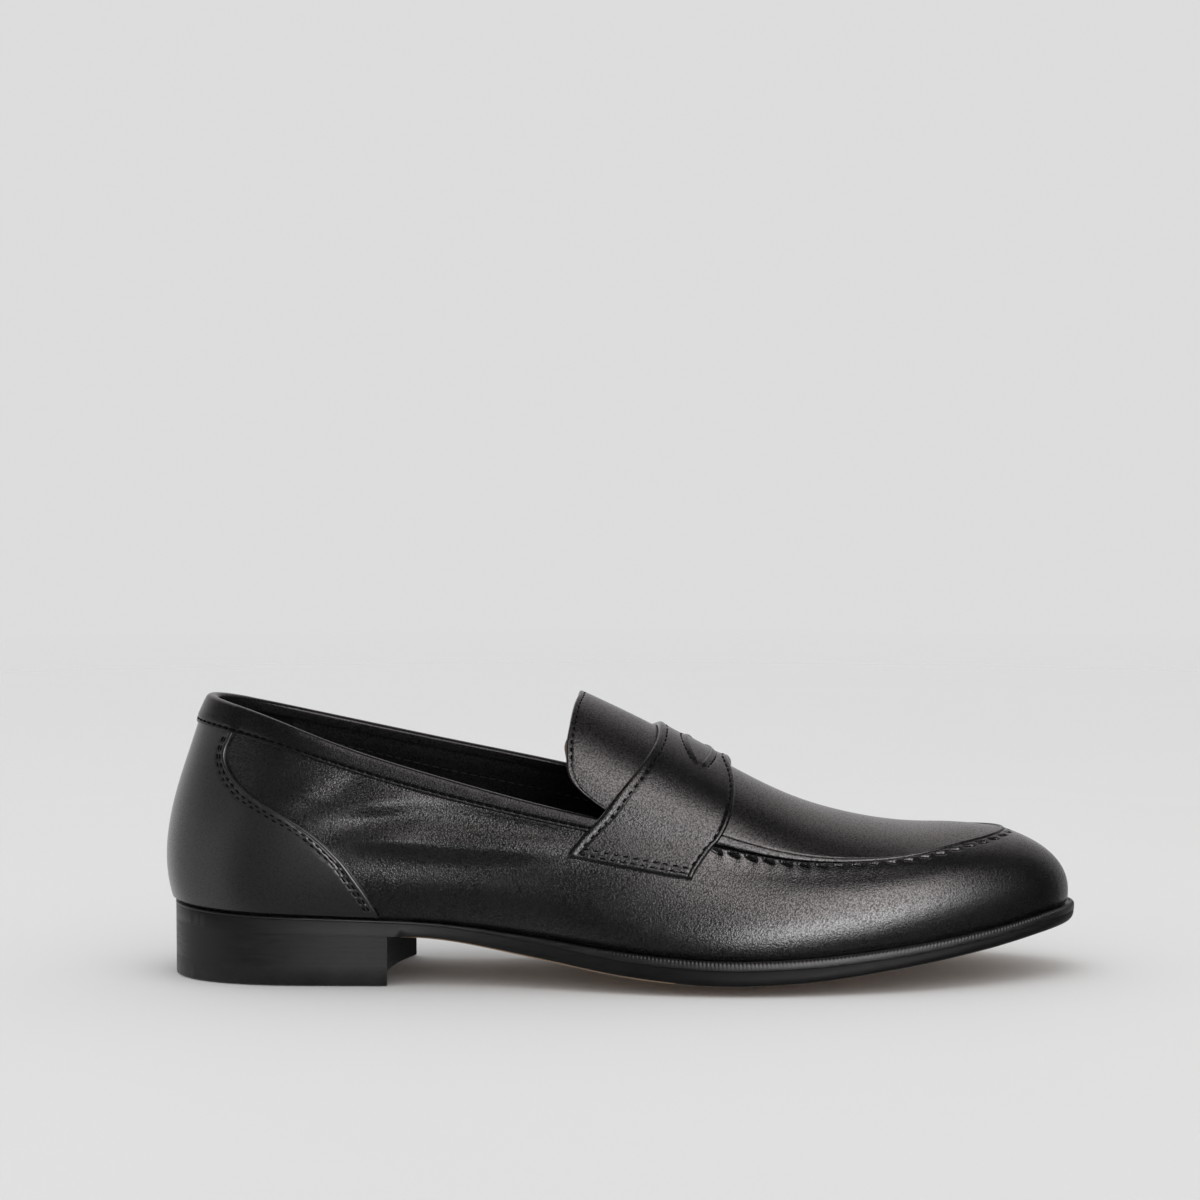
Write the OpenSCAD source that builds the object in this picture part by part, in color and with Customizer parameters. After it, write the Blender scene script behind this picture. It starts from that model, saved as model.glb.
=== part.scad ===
// Penny loafer, right foot, lasted and stitched from separate pieces.
// +X runs to the toe, +Y to the inner (medial) side, +Z up. The origin is on the ground,
// below the middle of the shoe. All sizes are in millimetres.

/* [Size] */
// Length of the outsole from heel to toe
shoe_l = 300; // [280:1:320]
// Width of the outsole across the ball of the foot
shoe_w = 103; // [96:1:110]
// Height of the back of the topline above the ground
back_h = 93; // [88:1:100]

/* [Upper] */
// Thickness of the upper leather
leather_t = 1.4; // [1.2:0.1:1.5]
// Thickness of the lining leather
lining_t = 1; // [0.8:0.1:1.2]
// Thickness of the toe puff and the heel counter
stiffener_t = 0.6; // [0.4:0.1:0.6]
// Thickness of the heel foxing
foxing_t = 1.2; // [0.9:0.1:1.4]
// Thickness of the saddle strap
strap_t = 1.8; // [1.4:0.1:2.2]
// Thickness of the topline binding
binding_t = 0.8; // [0.6:0.1:1]
// Length of the slot in the strap, along the shoe
slot_l = 7.6; // [5:0.2:8.4]
// Width of the lasting margin that is folded under the insole
margin_w = 12; // [9:0.5:13]

/* [Bottom] */
// Thickness of the insole
insole_t = 2.6; // [2:0.2:3]
// Thickness of the sock liner
sock_t = 1; // [0.8:0.1:1.4]
// Thickness of the heel pad
pad_t = 2.4; // [1.6:0.2:3]
// Thickness of the rubber top piece
top_piece_t = 6.5; // [5:0.5:7]
// Thickness of each flat heel lift
lift_t = 3.8; // [3.2:0.2:4]
// Diameter of the heel nails
nail_d = 1.8; // [1.4:0.2:2.4]

/* [Stitches] */
// Distance between the hand stitches round the apron
apron_pitch = 5.7; // [5:0.1:8]
// Distance between the machine stitches
row_pitch = 3.2; // [3:0.1:5]
// Diameter of the sewing thread
thread_d = 0.5; // [0.4:0.1:0.7]

/* [Hidden] */

// The tables below are written for a shoe of this size, and are scaled to the sizes above.
base = [300, 103, 93];
k = [shoe_l / base.x, shoe_w / base.y, back_h / base.z];

// Stations run from the heel (0) to the toe (13), about every 30 mm in the middle of the shoe.
toe = 13;
loop_n = 2 * toe;
ball_x = -90;
ball_step = 30;
ball_u = 3;

// Profile of the bottom, every 30 mm from heel to toe: height of the feather line, thickness of the
// welt, thickness of the sole at its edge, and how far the sole hangs down in its middle.
profile_x = [-150, 150];
PROFILE = [
    [24, 0.8, 5, 0], [22.8, 0.8, 5, 0], [22, 0.8, 4.6, 0], [20.6, 0.9, 4.4, 0.6], [17.2, 1.6, 5.2, 1.8],
    [13.4, 2.6, 5.3, 3], [11.4, 3, 5.1, 3.6], [12, 3, 4.7, 3.2], [14.6, 3, 4, 2.4], [18.3, 2.8, 3.6, 1.6],
    [22.9, 2.7, 3.5, 0.8]];

// Feather line, where the upper meets the welt: x, y lateral, y medial, and how far the sole's edge
// stands out from it.
FEATHER = [
    [-148.5, 3, 3, 0.8], [-142, -16.5, 22.5, 0.8], [-121, -28, 31.5, 1], [-90, -30.5, 31, 1],
    [-60, -31, 27.5, 1.4], [-30, -35.5, 27, 2.2], [0, -43.5, 34, 3.2], [30, -48.5, 44, 3.8],
    [60, -47, 48.5, 3.9], [90, -40, 46, 3.6], [114.5, -29.5, 38.5, 3.2], [134, -17, 28, 2.8],
    [145.6, -5.5, 18.5, 2.4], [149.3, 6.5, 6.5, 2.2]];

// Upper edge of the side wall, the topline behind and the apron seam in front:
// x, y lateral, y medial, z lateral, z medial.
EDGE = [
    [-137.5, 3, 3, 91.8, 91.8], [-133, -9, 15, 90.9, 90.7], [-116, -22.5, 25.5, 86.6, 86.4],
    [-90, -28.5, 30.5, 77.2, 80.3], [-60, -31.5, 32, 68.1, 73.8], [-30, -34, 33, 60.1, 67.6],
    [0, -36, 34, 53.3, 60.5], [30, -35.5, 35, 46.6, 51.5], [60, -34, 36, 41.2, 44.5],
    [90, -28.5, 33.5, 41.6, 43.5], [107.5, -20, 29.5, 44.2, 45], [119.5, -10.5, 23, 45.8, 46],
    [126, -1.5, 15, 46.6, 46.6], [128, 7, 7, 46.8, 46.8]];

// How the wall bulges between the two lines: the direction it faces (0 = toe, 180 = heel), then how
// far its handles reach out and up from the feather line, and out and down from the upper edge.
BULGE = [
    [180, 7.6, 22, 7.5, 26], [150, 7, 21, 6.5, 25], [115, 7, 19, 6, 22], [90, 7.5, 17, 5, 19],
    [90, 8.5, 15, 4, 17], [90, 8, 14, 3.5, 14], [90, 6, 13, 4, 12], [90, 4.5, 12, 7, 10],
    [90, 4, 11.5, 10, 7], [75, 3.5, 11.5, 11, 6], [55, 3, 12, 12.5, 5.5], [35, 2.5, 12, 13.5, 5],
    [15, 2, 12, 14.5, 4.5], [0, 2, 12, 14.5, 4.5]];

// Arch of the apron and the tongue above the upper edge: height, then how pointed it is.
ARCH = [
    [60, 0.5], [55, 0.5], [50, 0.5], [46, 0.5], [41, 0.5], [36.6, 0.52], [30, 0.55], [22.5, 0.62],
    [13.8, 0.75], [7.2, 0.9], [4.2, 1], [2.2, 1], [0.8, 1], [0, 1]];

// Free edge of the tongue: station at each fifth of the turn from the ridge to the side.
TONGUE_EDGE = [5.53, 5.48, 5.43, 5.39, 5.47, 6.1];
// Edges of the strap, at each fifth of the way from the ridge to its end: x of the rear edge and
// of the front edge.
STRAP_EDGE = [[11.5, 33.8], [10.4, 36.2], [5.3, 36], [-2.6, 33], [-10.4, 28], [-18.2, 22.3]];
strap_v = 1.34;
// Edge of the foxing: station at each seventh of the height of the patch.
FOXING_EDGE = [3.35, 3.24, 3.09, 2.9, 2.55, 1.84, 1.43, 1.48];
foxing_top = 0.9;

slot_v = 0.5;
slot_x = 24.5;
// The ends of the welt meet at the waist, on the medial side.
welt_joint = -4;
// The heel breast runs slightly further forward on the medial side, and curves back between its
// corners.
breast_lateral = 3.42;
breast_medial = 3.65;
breast_hollow = 4.5;
shank_x = [-112, -26];
shank_w = 15;
shank_t = 1.4;
pad_x = [-75, -50];
nail_at = [[-138, 3], [-129, -15], [-129, 21], [-108, -21], [-108, 26], [-88, -22], [-86, 25], [-84, 2]];
nail_z = [0.5, 12];

// Gap between pieces that lie on each other.
clear = 0.1;
// Edge of the insole, inside the feather line, and the inner edge of the welt.
insole_in = 3.6;
welt_in = 6;
// Heights of the linings below the outside of the upper.
stiffener_top = -leather_t - clear;
lining_top = stiffener_top - stiffener_t - clear;
lining_low = lining_top - lining_t;
// Heights above the feather line.
insole_low = leather_t + clear;
insole_top = insole_low + insole_t;
// The walls and the apron stop just short of the line where they meet.
wall_top = 0.98;
apron_side = 0.975;
last_u = 12.9;
tip = 0.06;
// Height of a stitch's centre line above the surface that it lies on.
thread_over = thread_d / 2 + 0.05;
binding_u = 5.95;
seam_from = 7.1;

// ---- Curves ----

function wrap(i, n) = ((i % n) + n) % n;
function blended(p, i) = (p[wrap(i - 1, len(p))] + 4 * p[i] + p[wrap(i + 1, len(p))]) / 6;
// Control points that make the closed spline pass through the points q.
function fair(q, p, n) =
    n == 0 ? p : fair(q, [for (i = [0:len(p) - 1]) p[i] + q[i] - blended(p, i)], n - 1);
// Closed uniform cubic spline.
function spline(p, u) =
    let (n = len(p), i = floor(u), f = u - i)
    ((1 - f)^3 * p[wrap(i - 1, n)] + (3 * f^3 - 6 * f^2 + 4) * p[wrap(i, n)]
        + (-3 * f^3 + 3 * f^2 + 3 * f + 1) * p[wrap(i + 1, n)] + f^3 * p[wrap(i + 2, n)]) / 6;
// Closed loop of stations: the lateral columns from heel to toe, then the medial ones back.
function loop(lateral, medial) =
    let (q = concat(lateral, [for (i = [toe - 1:-1:1]) medial[i]]))
    fair(q, q, 5);
function lerp(a, b, f) = a * (1 - f) + b * f;
function unit(v) = v / norm(v);
function steps(a, b, n) = [for (i = [0:n]) lerp(a, b, i / n)];
// Value of a short list, read smoothly at a place from 0 to 1.
function along(list, f) =
    let (n = len(list) - 1, s = min(max(f, 0), 1) * n, i = min(floor(s), n - 1), g = s - i,
        a = list[max(i - 1, 0)], b = list[i], c = list[i + 1], d = list[min(i + 2, n)])
    b + g / 2 * (c - a + g * (2 * a - 5 * b + 4 * c - d + g * (3 * (b - c) + d - a)));

// ---- Surfaces ----

// Profile at a place along the shoe.
function profile(x) = k.z * along(PROFILE, (x / k.x - profile_x[0]) / (profile_x[1] - profile_x[0]));
function rise(x) = profile(x)[0];

FEATHER_LOOP = loop([for (r = FEATHER) [r[0] * k.x, r[1] * k.y, rise(r[0] * k.x), r[3]]],
    [for (r = FEATHER) [r[0] * k.x, r[2] * k.y, rise(r[0] * k.x), r[3]]]);
EDGE_LOOP = loop([for (r = EDGE) [r[0] * k.x, r[1] * k.y, r[3] * k.z]],
    [for (r = EDGE) [r[0] * k.x, r[2] * k.y, r[4] * k.z]]);
FOOT_LOOP = loop([for (r = BULGE) [r[1] * cos(r[0]), -r[1] * sin(r[0]), r[2]]],
    [for (r = BULGE) [r[1] * cos(r[0]), r[1] * sin(r[0]), r[2]]]);
HEAD_LOOP = loop([for (r = BULGE) [r[3] * cos(r[0]), -r[3] * sin(r[0]), -r[4]]],
    [for (r = BULGE) [r[3] * cos(r[0]), r[3] * sin(r[0]), -r[4]]]);
ARCH_LOOP = loop(ARCH, ARCH);

function feather(q) = let (p = spline(FEATHER_LOOP, q)) [p.x, p.y, p.z];
// Station of a place along the middle of the shoe.
function station(x) = ball_u + (x / k.x - ball_x) / ball_step;
// Side wall: q goes round the shoe (lateral is positive, medial is negative), t from 0 at the
// feather line to 1 at the upper edge.
function wall(q, t) =
    let (f = feather(q), e = spline(EDGE_LOOP, q))
    (1 - t)^3 * f + 3 * (1 - t)^2 * t * (f + spline(FOOT_LOOP, q))
        + 3 * (1 - t) * t^2 * (e + spline(HEAD_LOOP, q)) + t^3 * e;
// Whole upper from side to side: v is -2 at the lateral feather line, -1 at the lateral edge,
// 0 on the ridge, 1 at the medial edge and 2 at the medial feather line.
function skin(u, v) =
    abs(v) >= 1 ? wall(v < 0 ? u : -u, 2 - abs(v)) :
    let (a = spline(ARCH_LOOP, u))
    lerp(spline(EDGE_LOOP, u), spline(EDGE_LOOP, -u), (v + 1) / 2)
        + [0, 0, a[0] * k.z * (1 - v^2)^a[1]];
WALL = function(q, t) wall(q, t);
SKIN = function(u, v) skin(u, v);
function normal(f, a, b) =
    let (e = 0.01)
    unit(cross(f(a + e, b) - f(a - e, b), f(a, b + e) - f(a, b - e)));
function raised(f, a, b, d) = f(a, b) + d * normal(f, a, b);
// Direction out of the shoe at the feather line, seen from above.
function outward(q) =
    let (d = feather(q + 0.02) - feather(q - 0.02))
    unit([d.y, -d.x, 0]);
// Point at a distance outside the feather line and a height above it.
function beside(q, out, up) =
    let (p = feather(q) + out * outward(q))
    [p.x, p.y, rise(p.x) + up];
function sole_out(q) = spline(FEATHER_LOOP, q)[3];
// Point of a line straight across the shoe: r goes from one side (-1) to the other (1).
function across(u, r, out) = lerp(beside(u, out, 0), beside(-u, out, 0), (r + 1) / 2);
function level(p, up) = [p.x, p.y, rise(p.x) + up];
// Share of the sole's half width that lies inside a margin measured from the feather line.
function inside(u, margin) =
    let (half = norm(across(u, 1, 0) - across(u, -1, 0)) / 2 + sole_out(u))
    max(0.1, 1 - (sole_out(u) + margin) / half);
function dish(u, r) = max(0, 1 - (r / inside(u, welt_in))^2);
function sole_top(u, r) =
    let (p = across(u, r, sole_out(u)), s = profile(p.x))
    level(p, -s[1] - s[3] * dish(u, r));
function sole_low(u, r) =
    let (p = across(u, r, sole_out(u)), s = profile(p.x), low = s[0] - s[1] - s[2] - s[3] * (1 - r^2))
    [p.x, p.y, max(low, 0)];

// ---- Building blocks ----

function quad(a, b, c, d) = [[a, b, c], [a, c, d]];
// Closed sheet between two grids of points, without the cells for which gap(i, j) is true.
module sheet(top, under, gap = function(i, j) false) {
    rows = len(top);
    cols = len(top[0]);
    under_at = rows * cols;
    mid = [floor(rows / 2) - 1, floor(cols / 2) - 1];
    p = top[mid.x][mid.y];
    facing = cross(top[mid.x + 1][mid.y] - p, top[mid.x][mid.y + 1] - p) * (p - under[mid.x][mid.y]);
    kept = function(i, j) i >= 0 && j >= 0 && i < rows - 1 && j < cols - 1 && !gap(i, j);
    at = function(i, j) i * cols + j;
    faces = [for (i = [0:rows - 2]) for (j = [0:cols - 2]) if (kept(i, j))
        let (a = at(i, j), b = at(i, j + 1), c = at(i + 1, j + 1), d = at(i + 1, j), o = under_at)
        each concat(
            quad(a, b, c, d),
            quad(d + o, c + o, b + o, a + o),
            kept(i - 1, j) ? [] : quad(b, a, a + o, b + o),
            kept(i + 1, j) ? [] : quad(d, c, c + o, d + o),
            kept(i, j - 1) ? [] : quad(a, d, d + o, a + o),
            kept(i, j + 1) ? [] : quad(c, b, b + o, c + o))];
    polyhedron(concat([each each top], [each each under]),
        facing > 0 ? faces : [for (f = faces) [f[2], f[1], f[0]]]);
}
// Sheet that lies between two heights above a surface.
module skin_sheet(f, grid, low, high) {
    sheet([for (row = grid) [for (g = row) raised(f, g[0], g[1], high)]],
        [for (row = grid) [for (g = row) raised(f, g[0], g[1], low)]]);
}
function grid(as, bs) = [for (a = as) [for (b = bs) [a, b]]];
// Plate of the bottom that lies inside the feather line, between two heights above it.
module inner_plate(from, to, n, out, low, high) {
    rows = [for (u = steps(from, to, n)) [for (r = steps(-1, 1, 4)) across(u, r, out)]];
    sheet([for (row = rows) [for (p = row) level(p, high(p.x))]],
        [for (row = rows) [for (p = row) level(p, low(p.x))]]);
}
// Short piece of thread from one point to another.
module thread(a, b) {
    v = b - a;
    translate(a) rotate([0, acos(v.z / norm(v)), atan2(v.y, v.x)])
        cylinder(h = norm(v), d = thread_d, $fn = 16);
}
// Pairs of distance travelled and place along a path.
function travel(path, n, i = 0, d = 0) =
    i > n ? [] : concat([[d, i / n]],
        travel(path, n, i + 1, i == n ? d : d + norm(path((i + 1) / n) - path(i / n))));
// Row of even stitches along a path, which is a function from 0..1 to a point.
module stitch_row(path) {
    way = travel(path, 40);
    total = way[40][0];
    count = floor(total / row_pitch);
    step = total / count;
    for (i = [0:count - 1]) {
        thread(path(lookup((i + 0.2) * step, way)), path(lookup((i + 0.8) * step, way)));
    }
}
// ---- Bottom ----

SOLE_ACROSS = steps(-1, 1, 8);

module outsole() {
    color("#2b292c")
    let (stations = steps(tip, toe - tip, 42))
    sheet([for (u = stations) [for (r = SOLE_ACROSS) sole_top(u, r)]],
        [for (u = stations) [for (r = SOLE_ACROSS) sole_low(u, r)]]);
}

module welt() {
    color("#353336")
    let (places = steps(welt_joint, welt_joint + loop_n - 0.02, 78))
    sheet([for (q = places) [for (out = [sole_out(q), -welt_in]) beside(q, out, -0.02)]],
        [for (q = places) [for (out = [sole_out(q), -welt_in])
            let (p = beside(q, out, 0))
            level(p, 0.02 - profile(p.x)[1])]]);
}

// Place on the heel: f from 0 at the back to 1 at the breast, r from -1 (lateral) to 1 (medial).
function heel_at(f, r) =
    let (l = f * breast_lateral, m = -f * breast_medial)
    lerp(beside(l, sole_out(l), 0), beside(m, sole_out(m), 0), (r + 1) / 2)
        - [breast_hollow * k.x * (1 - r^2) * f^2, 0, 0];

HEEL_EDGE = concat([for (q = steps(-breast_medial, breast_lateral, 48)) beside(q, sole_out(q), 0)],
    [for (r = steps(-0.9, 0.9, 12)) heel_at(1, r)]);
HEEL_OUTLINE = [for (p = HEEL_EDGE) [p.x, p.y]];
lift_z = [top_piece_t, top_piece_t + lift_t, top_piece_t + 2 * lift_t];

module nails(play) {
    for (p = nail_at) {
        translate([p.x * k.x, p.y * k.y, nail_z[0] - play])
            cylinder(h = nail_z[1] - nail_z[0] + play, d = nail_d, $fn = 32);
    }
}

module lift(low, high) {
    difference() {
        translate([0, 0, low]) linear_extrude(high - low) polygon(HEEL_OUTLINE);
        nails(1);
    }
}

module heel_top_piece() {
    color("#252427") lift(0, lift_z[0]);
}

module heel_lift_lower() {
    color("#2a282b") lift(lift_z[0], lift_z[1]);
}

module heel_lift_upper() {
    color("#2b292c") lift(lift_z[1], lift_z[2]);
}

module heel_nails() {
    color("#a88f4e") nails(0);
}

// Wedge between the flat lifts and the sloping sole.
module heel_seat_lift() {
    color("#2b292c")
    let (places = steps(tip, 1, 24),
        top = [for (f = places) [for (r = SOLE_ACROSS) let (p = heel_at(f, r), s = profile(p.x))
            level(p, -s[1] - s[2] - 0.02)]])
    sheet(top, [for (row = top) [for (p = row) [p.x, p.y, lift_z[2]]]]);
}

module shank() {
    color("#8d9094")
    let (xs = steps(shank_x[0] * k.x, shank_x[1] * k.x, 12))
    sheet([for (x = xs) [for (y = [-shank_w / 2, shank_w / 2]) [x, y, rise(x) + shank_t - 0.3]]],
        [for (x = xs) [for (y = [-shank_w / 2, shank_w / 2]) [x, y, rise(x) - 0.3]]]);
}

// Cork that fills the hollow inside the welt, and stands up between the lasting margins.
module bottom_filler() {
    color("#8a6a45")
    let (stations = steps(5.4, 11, 18),
        columns = function(u) let (a = inside(u, welt_in + 0.5), b = inside(u, margin_w + 1))
            [-a, -b - 0.02, -b, 0, b, b + 0.02, a])
    sheet([for (u = stations) let (c = columns(u)) [for (i = [0:6])
            level(across(u, c[i], sole_out(u)), i > 1 && i < 5 ? leather_t : -clear)]],
        [for (u = stations) let (c = columns(u)) [for (r = c) sole_top(u, r) + [0, 0, 0.05]]]);
}

module insole() {
    color("#b08d62")
    inner_plate(0.2, 12.8, 36, -insole_in, function(x) insole_low, function(x) insole_top);
}

// The pad thins out towards the waist, and the sock liner lies over it.
function pad_h(x) = pad_t * min(max((pad_x[1] * k.x - x) / (pad_x[1] - pad_x[0]) / k.x, 0), 1);

module heel_pad() {
    color("#6d6a66")
    inner_plate(0.5, station(pad_x[1] * k.x) - 0.1, 14, -insole_in - 3,
        function(x) insole_top + clear, function(x) insole_top + clear + max(pad_h(x), 0.3));
}

module sock_liner() {
    color("#1a191b")
    inner_plate(0.25, 12.7, 36, -insole_in - 0.6,
        function(x) insole_top + 2 * clear + max(pad_h(x), 0.3),
        function(x) insole_top + 2 * clear + max(pad_h(x), 0.3) + sock_t);
}

// ---- Upper ----

WALL_T = [0.03, 0.12, 0.25, 0.4, 0.55, 0.7, 0.85, wall_top];

// The wall runs round the whole shoe from the back seam, and is lasted under the insole.
module vamp_wall() {
    color("#211f21")
    let (places = steps(0.02, loop_n - 0.02, 78),
        section = function(q, d) concat(
            [beside(q, -margin_w, -d), beside(q, -margin_w / 2, -d), beside(q, 1.2 * d - 0.3, -d)],
            [for (t = WALL_T) raised(WALL, q, t, d)]))
    sheet([for (q = places) section(q, 0)], [for (q = places) section(q, -leather_t)]);
}

// Share of the quarter turn from the ridge (0) to the side of the arch (1).
function turn(v) = asin(min(abs(v), 1)) / 90;
function tongue_u(v) = along(TONGUE_EDGE, turn(v));
// Places across the arch, spaced by even turns.
function turns(side, n) = [for (a = steps(-asin(side), asin(side), n)) sin(a)];

// Apron and tongue in one piece.
module apron() {
    color("#2c2a2c")
    let (vs = turns(apron_side, 16))
    skin_sheet(SKIN,
        [for (s = steps(0, 1, 30)) [for (v = vs) [lerp(tongue_u(v), last_u, s), v]]], -leather_t, 0);
}

module tongue_lining() {
    color("#3a302b")
    let (vs = turns(0.93, 14))
    skin_sheet(SKIN,
        [for (s = steps(0, 1, 8)) [for (v = vs) [lerp(tongue_u(v) + 0.02, 6.65, s), v]]],
        stiffener_top - lining_t, stiffener_top);
}

function foxing_q(t) = along(FOXING_EDGE, t / foxing_top);

module heel_foxing() {
    color("#312f31")
    skin_sheet(WALL,
        [for (s = steps(-1, 1, 24)) [for (t = steps(0.03, 0.87, 8)) [s * foxing_q(t), t]]],
        clear, clear + foxing_t);
}

// Distance from the ridge on the strap: the turn over the arch, then the way down the wall.
function strap_way(v) = abs(v) < 1 ? turn(v) : abs(v);
function strap_x(v, side) = k.x * along([for (e = STRAP_EDGE) e[side]], strap_way(v) / strap_v);
function strap_place(w) = abs(w) < 1 ? sin(90 * w) : w;
function slot_half(v) = max(0.25, slot_l / 2 * (1 - (v / slot_v)^2));

// Saddle strap over the apron, with the slot cut in its middle.
module saddle_strap() {
    color("#343234")
    let (vs = [for (w = steps(-strap_v, strap_v, 26)) strap_place(w)],
        slot = slot_x * k.x,
        places = [for (v = vs)
            let (rear = strap_x(v, 0), front = strap_x(v, 1), half = slot_half(v),
                low = slot - half, high = slot + half)
            [for (x = [rear, (rear + low) / 2, low, high, (front + high) / 2, front]) [station(x), v]]])
    sheet([for (row = places) [for (p = row) raised(SKIN, p[0], p[1], clear + strap_t)]],
        [for (row = places) [for (p = row) raised(SKIN, p[0], p[1], clear)]],
        function(i, j) j == 2 && abs(vs[i]) <= slot_v && abs(vs[i + 1]) <= slot_v);
}

// Strip folded over the topline, from the strap on one side round the heel to the other.
module topline_binding() {
    over = clear + binding_t;
    mid = lining_low / 2;
    outer = [[0.885, over], [0.95, over], [0.995, over], [1.02, mid], [0.995, lining_low - over],
        [0.95, lining_low - over], [0.905, lining_low - over]];
    inner = [[0.885, clear], [0.95, clear], [0.985, clear], [0.995, mid], [0.985, lining_low - clear],
        [0.95, lining_low - clear], [0.905, lining_low - clear]];
    color("#272527")
    let (places = steps(-binding_u, binding_u, 48))
    sheet([for (q = places) [for (p = outer) raised(WALL, q, p[0], p[1])]],
        [for (q = places) [for (p = inner) raised(WALL, q, p[0], p[1])]]);
}

module toe_puff() {
    color("#b9ab92")
    skin_sheet(SKIN, grid(steps(11, last_u, 6), steps(-1.95, 1.95, 16)),
        stiffener_top - stiffener_t, stiffener_top);
}

// The counter's front edges slope back from the sole.
module heel_counter() {
    color("#b9ab92")
    skin_sheet(WALL,
        [for (s = steps(-1, 1, 18)) [for (t = steps(0.04, 0.72, 6))
            [s * lerp(3.9, 2.2, sqrt(t / 0.72)), t]]],
        stiffener_top - stiffener_t, stiffener_top);
}

module vamp_lining() {
    color("#1c1a1b")
    skin_sheet(SKIN, grid(steps(6.8, last_u, 16), steps(-1.96, 1.96, 18)),
        lining_low, lining_top);
}

module quarter_lining(from, to) {
    color("#1c1a1b")
    skin_sheet(WALL, grid(steps(from, to, 12), steps(0.04, wall_top, 6)),
        lining_low, lining_top);
}

module quarter_lining_lateral() {
    quarter_lining(2.22, 6.75);
}

module quarter_lining_medial() {
    quarter_lining(-6.75, -2.22);
}

module heel_lining() {
    color("#242122")
    skin_sheet(WALL, grid(steps(-2.18, 2.18, 14), steps(0.04, wall_top, 6)),
        lining_low, lining_top);
}

// ---- Stitching ----

// Hand stitches that draw the edge of the apron down to the wall.
module apron_stitching() {
    path = function(s) spline(EDGE_LOOP, lerp(seam_from, loop_n - seam_from, s));
    way = travel(path, 60);
    total = way[60][0];
    count = floor(total / apron_pitch);
    color("#1b191b")
    for (i = [0:count - 1]) {
        q = lerp(seam_from, loop_n - seam_from, lookup((i + 0.5) * total / count, way));
        lateral = q < toe;
        u = min(lateral ? q : loop_n - q, last_u - 0.05);
        v = lateral ? -0.93 : 0.93;
        thread(raised(WALL, q, 0.93, thread_over),
            raised(SKIN, u, v, thread_over + 0.4));
    }
}

module strap_stitching() {
    over = clear + strap_t + thread_over;
    place = function(x, v) raised(SKIN, station(x), v, over);
    color("#141214") {
        for (v = [-strap_v + 0.03, -strap_v + 0.09, strap_v - 0.09, strap_v - 0.03]) {
            stitch_row(function(s) place(lerp(strap_x(v, 0) + 3, strap_x(v, 1) - 2.5, s), v));
        }
        for (side = [-1, 1]) {
            at = function(s) side * strap_place(lerp(0.05, strap_v - 0.13, s));
            stitch_row(function(s) place(strap_x(at(s), 1) - 1.6, at(s)));
            stitch_row(function(s) place(strap_x(at(s), 0) + 2.7, at(s)));
        }
    }
}

module topline_stitching() {
    color("#141214")
    stitch_row(function(s) raised(WALL, lerp(-binding_u + 0.1, binding_u - 0.1, s), 0.905,
        clear + binding_t + thread_over));
}

module foxing_stitching() {
    color("#141214")
    for (side = [-1, 1]) for (back = [0.1, 0.17]) {
        stitch_row(function(s) raised(WALL, side * (foxing_q(lerp(0.08, 0.85, s)) - back),
            lerp(0.08, 0.85, s), clear + foxing_t + thread_over));
    }
}

module tongue_stitching() {
    color("#141214")
    stitch_row(function(s) raised(SKIN, tongue_u(lerp(-0.85, 0.85, s)) + 0.07,
        lerp(-0.85, 0.85, s), thread_over));
}

outsole();
welt();
heel_seat_lift();
heel_lift_upper();
heel_lift_lower();
heel_top_piece();
heel_nails();
shank();
bottom_filler();
insole();
heel_pad();
sock_liner();
vamp_wall();
apron();
heel_foxing();
saddle_strap();
topline_binding();
toe_puff();
heel_counter();
vamp_lining();
quarter_lining_lateral();
quarter_lining_medial();
heel_lining();
tongue_lining();
apron_stitching();
strap_stitching();
topline_stitching();
foxing_stitching();
tongue_stitching();
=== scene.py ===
"""Looks of the penny loafer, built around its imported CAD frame. Sizes inside are in millimetres."""
import math

import bpy
import numpy as np
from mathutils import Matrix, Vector
from mathutils.kdtree import KDTree


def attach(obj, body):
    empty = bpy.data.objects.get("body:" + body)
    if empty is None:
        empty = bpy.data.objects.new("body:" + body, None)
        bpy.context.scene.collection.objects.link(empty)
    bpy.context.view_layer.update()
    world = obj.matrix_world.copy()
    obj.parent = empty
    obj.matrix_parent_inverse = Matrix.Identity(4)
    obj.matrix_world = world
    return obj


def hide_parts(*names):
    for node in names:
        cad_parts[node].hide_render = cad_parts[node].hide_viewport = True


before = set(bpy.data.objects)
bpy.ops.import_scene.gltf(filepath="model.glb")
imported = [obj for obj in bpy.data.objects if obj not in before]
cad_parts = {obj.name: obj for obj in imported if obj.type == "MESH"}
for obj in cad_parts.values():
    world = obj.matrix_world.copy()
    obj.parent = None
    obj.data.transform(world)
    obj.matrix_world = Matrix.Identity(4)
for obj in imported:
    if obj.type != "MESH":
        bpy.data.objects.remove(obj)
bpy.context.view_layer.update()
MM = 0.001

# ---- The last: the same tables and curves as in the CAD source ----

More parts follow.
